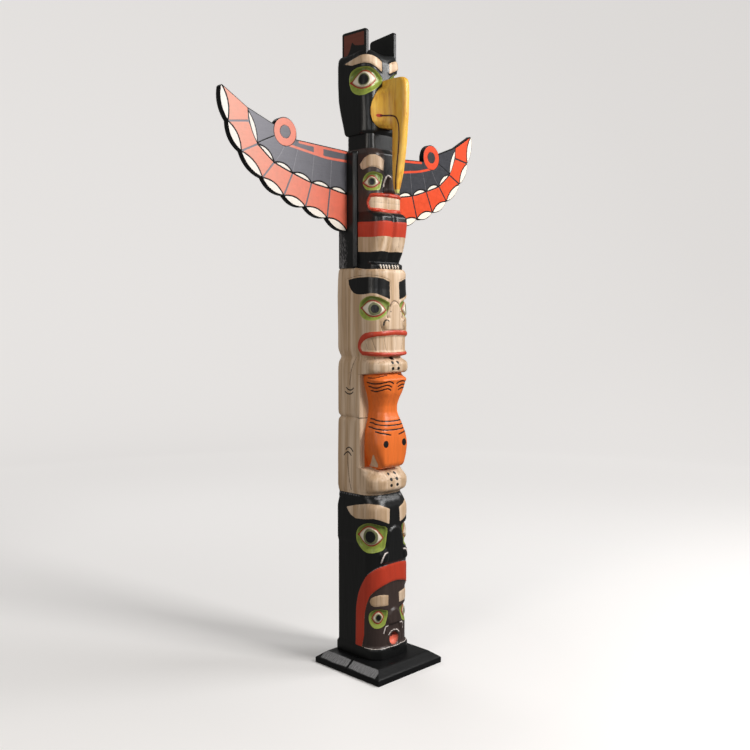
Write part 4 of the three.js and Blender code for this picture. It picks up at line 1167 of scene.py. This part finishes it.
def painted_wing():
    f = Finish("painted_wing")
    streak = f.noise((60, 60, 60), 3.0)
    grain = f.noise((14, 120, 160), 4.0)
    wobble = f.swing(f.noise((220, 220, 220), 1.0), 1.2)
    # Painted sheen: the right wing's colours turn paler towards its tip.
    sheen_share = f.distance("painted_sheen")
    sheen_orange, sheen_grey = ((0.92, 0.88, 0.74), 0.35), ((0.88, 0.86, 0.96), 0.26)
    pale, most = sheen_orange
    colour = f.mix(f.times(sheen_share, most), tinted(f, (0.66, 0.066, 0.018), streak, 0.2), pale)
    for name, paint, amount in (
            ("slate", (0.034, 0.035, 0.042), 0.35), ("faint", (0.13, 0.13, 0.14), 0.2),
            ("cream", (0.80, 0.73, 0.63), 0.08), ("orange", (0.66, 0.062, 0.018), 0.2),
            ("line", (0.018, 0.019, 0.024), 0.25), ("pupil", (0.032, 0.031, 0.034), 0.3),
            ("black", black, 0.25)):
        pale, most = sheen_orange if name == "orange" else sheen_grey
        coat = tinted(f, paint, streak, amount)
        if name != "black":
            coat = f.mix(f.times(sheen_share, most), coat, pale)
        colour = f.mix(f.where(name, wobble), colour, coat)
    rough = f.mix_value(streak, 0.36, 0.52)
    height = f.maths("ADD", f.times(grain, 0.7), f.times(streak, 0.8))
    return f.finish(colour, rough, height, 0.0009, 0.12)


def painted_beak():
    f = Finish("painted_beak")
    streak = f.noise((120, 120, 9), 4.0, 0.6)
    patch = f.noise((22, 22, 10), 2.0)
    wobble = f.swing(f.noise((220, 220, 220), 1.0), 1.0)
    colour = f.mix(f.between(streak, 0.42, 0.68), (0.78, 0.44, 0.055), (0.56, 0.25, 0.035))
    colour = f.mix(f.times(f.between(patch, 0.5, 0.7), 0.5), colour, (0.84, 0.56, 0.12))
    colour = f.mix(f.where("tip", wobble, 2.5), colour, (0.62, 0.60, 0.20))
    colour = f.mix(f.where("corner", wobble, 0.8), colour, (0.50, 0.045, 0.02))
    colour = f.mix(f.where("mouth", wobble), colour, (0.060, 0.010, 0.007))
    rough = f.mix_value(patch, 0.32, 0.46)
    return f.finish(colour, rough, streak, 0.0008)


def painted_ear():
    f = Finish("painted_ear")
    streak = f.noise((40, 12, 90), 3.0)
    wobble = f.swing(f.noise((160, 160, 160), 2.0), 3.0)
    colour = tinted(f, (0.15, 0.04, 0.025), streak, 0.3)
    colour = f.mix(f.where("black", wobble, 0.8), colour, tinted(f, black, streak))
    return f.finish(colour, f.mix_value(streak, 0.36, 0.5), streak, 0.0007)


def painted_base():
    f = Finish("painted_base")
    streak = f.noise((9, 130, 130), 3.0)
    patch = f.noise((18, 18, 18), 3.0)
    saw = f.noise((60, 420, 60), 4.0, 0.6)
    end = f.where("grain", f.swing(patch, 5.0), 1.2)
    colour = tinted(f, (0.0045, 0.0047, 0.005), patch, 0.35)
    grey = f.mix(f.between(saw, 0.30, 0.66), (0.145, 0.145, 0.15), (0.27, 0.27, 0.275))
    colour = f.mix(end, colour, grey)
    rough = f.mix_value(end, f.mix_value(patch, 0.30, 0.46), 0.85)
    height = f.mix_value(end, f.times(streak, 0.6), f.times(saw, 2.6))
    return f.finish(colour, rough, height, 0.0011, 0.15)


def painted_claw():
    f = Finish("painted_claw")
    patch = f.noise((120, 120, 120), 3.0)
    return f.finish(tinted(f, (0.80, 0.72, 0.62), patch, 0.15), 0.4, patch, 0.0003)


# Toe claws.


def toe_claws(material):
    """White claws along the feet of the crouching figure: one claw repeated at places on the foot's front."""
    flat, corner, middle, z, lean = 37.0, 30.0, -24, 1237.5, math.radians(-24)
    places, facings = [], []
    for side, places_across in ((-1, (8, 20, 32, 44)), (1, (6, 18, 30))):
        for across in places_across:
            bend = max(0.0, across - flat) / corner
            x = min(across, flat) + corner * math.sin(bend)
            y = middle - corner * math.cos(bend)
            places.append((side * x * MM, y * MM, z * MM))
            facings.append((0.0, lean, side * bend))
    spots = bpy.data.meshes.new("toe_places")
    spots.from_pydata(places, [], [])
    spots.attributes.new("turn", "FLOAT_VECTOR", "POINT").data.foreach_set("vector", np.ravel(facings))
    carrier = placed("toe_places", spots)
    tree = bpy.data.node_groups.new("toe_claws", "GeometryNodeTree")
    sockets = tree.interface
    sockets.new_socket("Geometry", in_out="INPUT", socket_type="NodeSocketGeometry")
    size = sockets.new_socket("Claw size", in_out="INPUT", socket_type="NodeSocketVector")
    finish = sockets.new_socket("Claw paint", in_out="INPUT", socket_type="NodeSocketMaterial")
    sockets.new_socket("Geometry", in_out="OUTPUT", socket_type="NodeSocketGeometry")
    made = tree.nodes.new
    source, result = made("NodeGroupInput"), made("NodeGroupOutput")
    ball = made("GeometryNodeMeshUVSphere")
    ball.inputs["Segments"].default_value = 16
    ball.inputs["Rings"].default_value = 10
    ball.inputs["Radius"].default_value = 1.0
    turn = made("GeometryNodeInputNamedAttribute")
    turn.data_type = "FLOAT_VECTOR"
    turn.inputs["Name"].default_value = "turn"
    repeat = made("GeometryNodeInstanceOnPoints")
    realize = made("GeometryNodeRealizeInstances")
    smooth = made("GeometryNodeSetShadeSmooth")
    paint = made("GeometryNodeSetMaterial")
    for start, output, end, socket in (
            (source, "Geometry", repeat, "Points"), (ball, "Mesh", repeat, "Instance"),
            (turn, "Attribute", repeat, "Rotation"), (source, "Claw size", repeat, "Scale"),
            (repeat, "Instances", realize, "Geometry"), (realize, "Geometry", smooth, "Geometry"),
            (smooth, "Geometry", paint, "Geometry"), (source, "Claw paint", paint, "Material"),
            (paint, "Geometry", result, "Geometry")):
        tree.links.new(start.outputs[output], end.inputs[socket])
    modifier = carrier.modifiers.new("claws", "NODES")
    modifier.node_group = tree
    modifier[size.identifier] = (2.7 * MM, 2.4 * MM, 7.6 * MM)
    modifier[finish.identifier] = material
    bpy.context.view_layer.update()
    evaluated = carrier.evaluated_get(bpy.context.evaluated_depsgraph_get())
    mesh = bpy.data.meshes.new_from_object(evaluated)
    mesh.name = "toe_claws"
    claws = placed("toe_claws", mesh)
    carrier.modifiers.remove(modifier)
    bpy.data.objects.remove(carrier)
    return claws


# Making the pieces.


def make_pieces():
    """Builds each piece, hangs it under the root and hides the node it stands for. Its row also names a slot,
    which nothing reads.
    Wing and ear pieces named right are on the -X side, but the nodes named right are on the +X side."""
    wood = carved_wood()
    lower = Shells()
    lower_log(lower)
    fish(lower)
    upper = Shells()
    slab(upper)
    crouching_figure(upper)
    neck(upper)
    bird_head(upper)
    wing_paint, ear_paint, base_paint = painted_wing(), painted_ear(), painted_base()
    made = [
        (lower.build("pole_lower_figures", wood, log_coats), "pole", "pole"),
        (upper.build("pole_upper_figures", wood, log_coats), "pole", "pole"),
        (beak().build("beak_piece", painted_beak(), beak_coats), "beak", "beak"),
        (wing(-1).build("wing_right_piece", wing_paint, wing_coats, 30.0), "wing_right", "wings"),
        (wing(1).build("wing_left_piece", wing_paint, wing_coats, 30.0), "wing_left", "wings"),
        (ear(-1, 2.5, 8.0).build("ear_right_piece", ear_paint, ear_coats, 30.0), "ear_right", "ears"),
        (ear(1, 14.0, 8.0).build("ear_left_piece", ear_paint, ear_coats, 30.0), "ear_left", "ears"),
        (board(-1).build("base_front_piece", base_paint, board_coats, 30.0), "base_board_front", "base"),
        (board(1).build("base_back_piece", base_paint, board_coats, 30.0), "base_board_back", "base"),
    ]
    for piece, node, slot in made:
        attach(piece, "root")
        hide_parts(node)
    claws = toe_claws(painted_claw())
    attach(claws, "root")


make_pieces()


# Floor, lights and surroundings.


def floor_sweep():
    """A pale floor that turns up into a wall all round, so that no edge shows."""
    flat, bend, top = 4.6, 2.2, 7.5
    profile = [(0.4, 0.0), (1.5, 0.0), (3.0, 0.0), (flat, 0.0)]
    turned = np.radians(np.arange(7.5, 90.1, 7.5))
    profile += [(flat + bend * math.sin(a), bend - bend * math.cos(a)) for a in turned]
    profile += [(flat + bend, top)]
    turns = 72
    points = [(0.0, 0.0, 0.0)]
    for radius, height in profile:
        points += [(radius * math.cos(t), radius * math.sin(t), height)
                   for t in 2 * math.pi * np.arange(turns) / turns]
    faces = [(0, 1 + k, 1 + (k + 1) % turns) for k in range(turns)]
    for ring in range(len(profile) - 1):
        start = 1 + ring * turns
        faces += [(start + k, start + turns + k, start + turns + (k + 1) % turns, start + (k + 1) % turns)
                  for k in range(turns)]
    mesh = bpy.data.meshes.new("floor")
    mesh.from_pydata(points, [], faces)
    mesh.polygons.foreach_set("use_smooth", [True] * len(mesh.polygons))
    paper = bpy.data.materials.new("pale_floor")
    paper.use_nodes = True
    shader = paper.node_tree.nodes["Principled BSDF"]
    shader.inputs["Base Color"].default_value = (0.81, 0.80, 0.795, 1)
    shader.inputs["Roughness"].default_value = 0.9
    shader.inputs["Specular IOR Level"].default_value = 0.0
    shader.inputs["Emission Color"].default_value = (1.0, 0.975, 0.96, 1)
    nodes, links = paper.node_tree.nodes, paper.node_tree.links
    place = nodes.new("ShaderNodeTexCoord")
    reach = nodes.new("ShaderNodeVectorMath")
    glow = nodes.new("ShaderNodeMapRange")
    reach.operation = "LENGTH"
    for socket, value in (("From Min", 0.6), ("From Max", 4.4), ("To Min", 0.07), ("To Max", 0.50)):
        glow.inputs[socket].default_value = value
    links.new(place.outputs["Object"], reach.inputs[0])
    links.new(reach.outputs["Value"], glow.inputs["Value"])
    links.new(glow.outputs["Result"], shader.inputs["Emission Strength"])
    mesh.materials.append(paper)
    floor = placed("floor", mesh)
    floor.visible_diffuse = False
    floor.visible_glossy = False


def soft_light(name, place, target, size, power, colour=(1.0, 1.0, 1.0)):
    """A large rectangular light at a place, turned to its target."""
    light = bpy.data.lights.new(name, "AREA")
    light.shape = "RECTANGLE"
    light.size, light.size_y = size
    light.energy = power
    light.color = colour
    lamp = placed(name, light)
    lamp.location = place
    from_target = mathutils.Vector(place) - mathutils.Vector(target)
    lamp.rotation_euler = from_target.to_track_quat("Z", "Y").to_euler()


floor_sweep()
soft_light("key_light", (0.8, -2.8, 2.7), (0.0, 0.0, 1.0), (0.9, 1.2), 98.0, (1.0, 0.985, 0.965))
soft_light("right_light", (2.2, -1.9, 2.85), (0.0, 0.0, 1.4), (1.3, 0.85), 48.0)
soft_light("camera_light", (-2.6, -2.8, 2.0), (0.0, 0.0, 1.4), (0.55, 0.6), 11.0)
soft_light("left_light", (-3.0, -0.5, 1.9), (0.0, 0.0, 1.1), (0.8, 1.3), 18.0, (1.0, 0.95, 0.88))
soft_light("back_light", (0.8, 2.6, 2.8), (0.0, 0.0, 1.0), (2.0, 1.6), 25.0)

world = bpy.data.worlds.new("pale_room")
world.use_nodes = True
world.node_tree.nodes["Background"].inputs["Color"].default_value = (1.0, 0.97, 0.93, 1)
world.node_tree.nodes["Background"].inputs["Strength"].default_value = 0.2
bpy.context.scene.world = world
bpy.context.scene.view_settings.view_transform = "Standard"
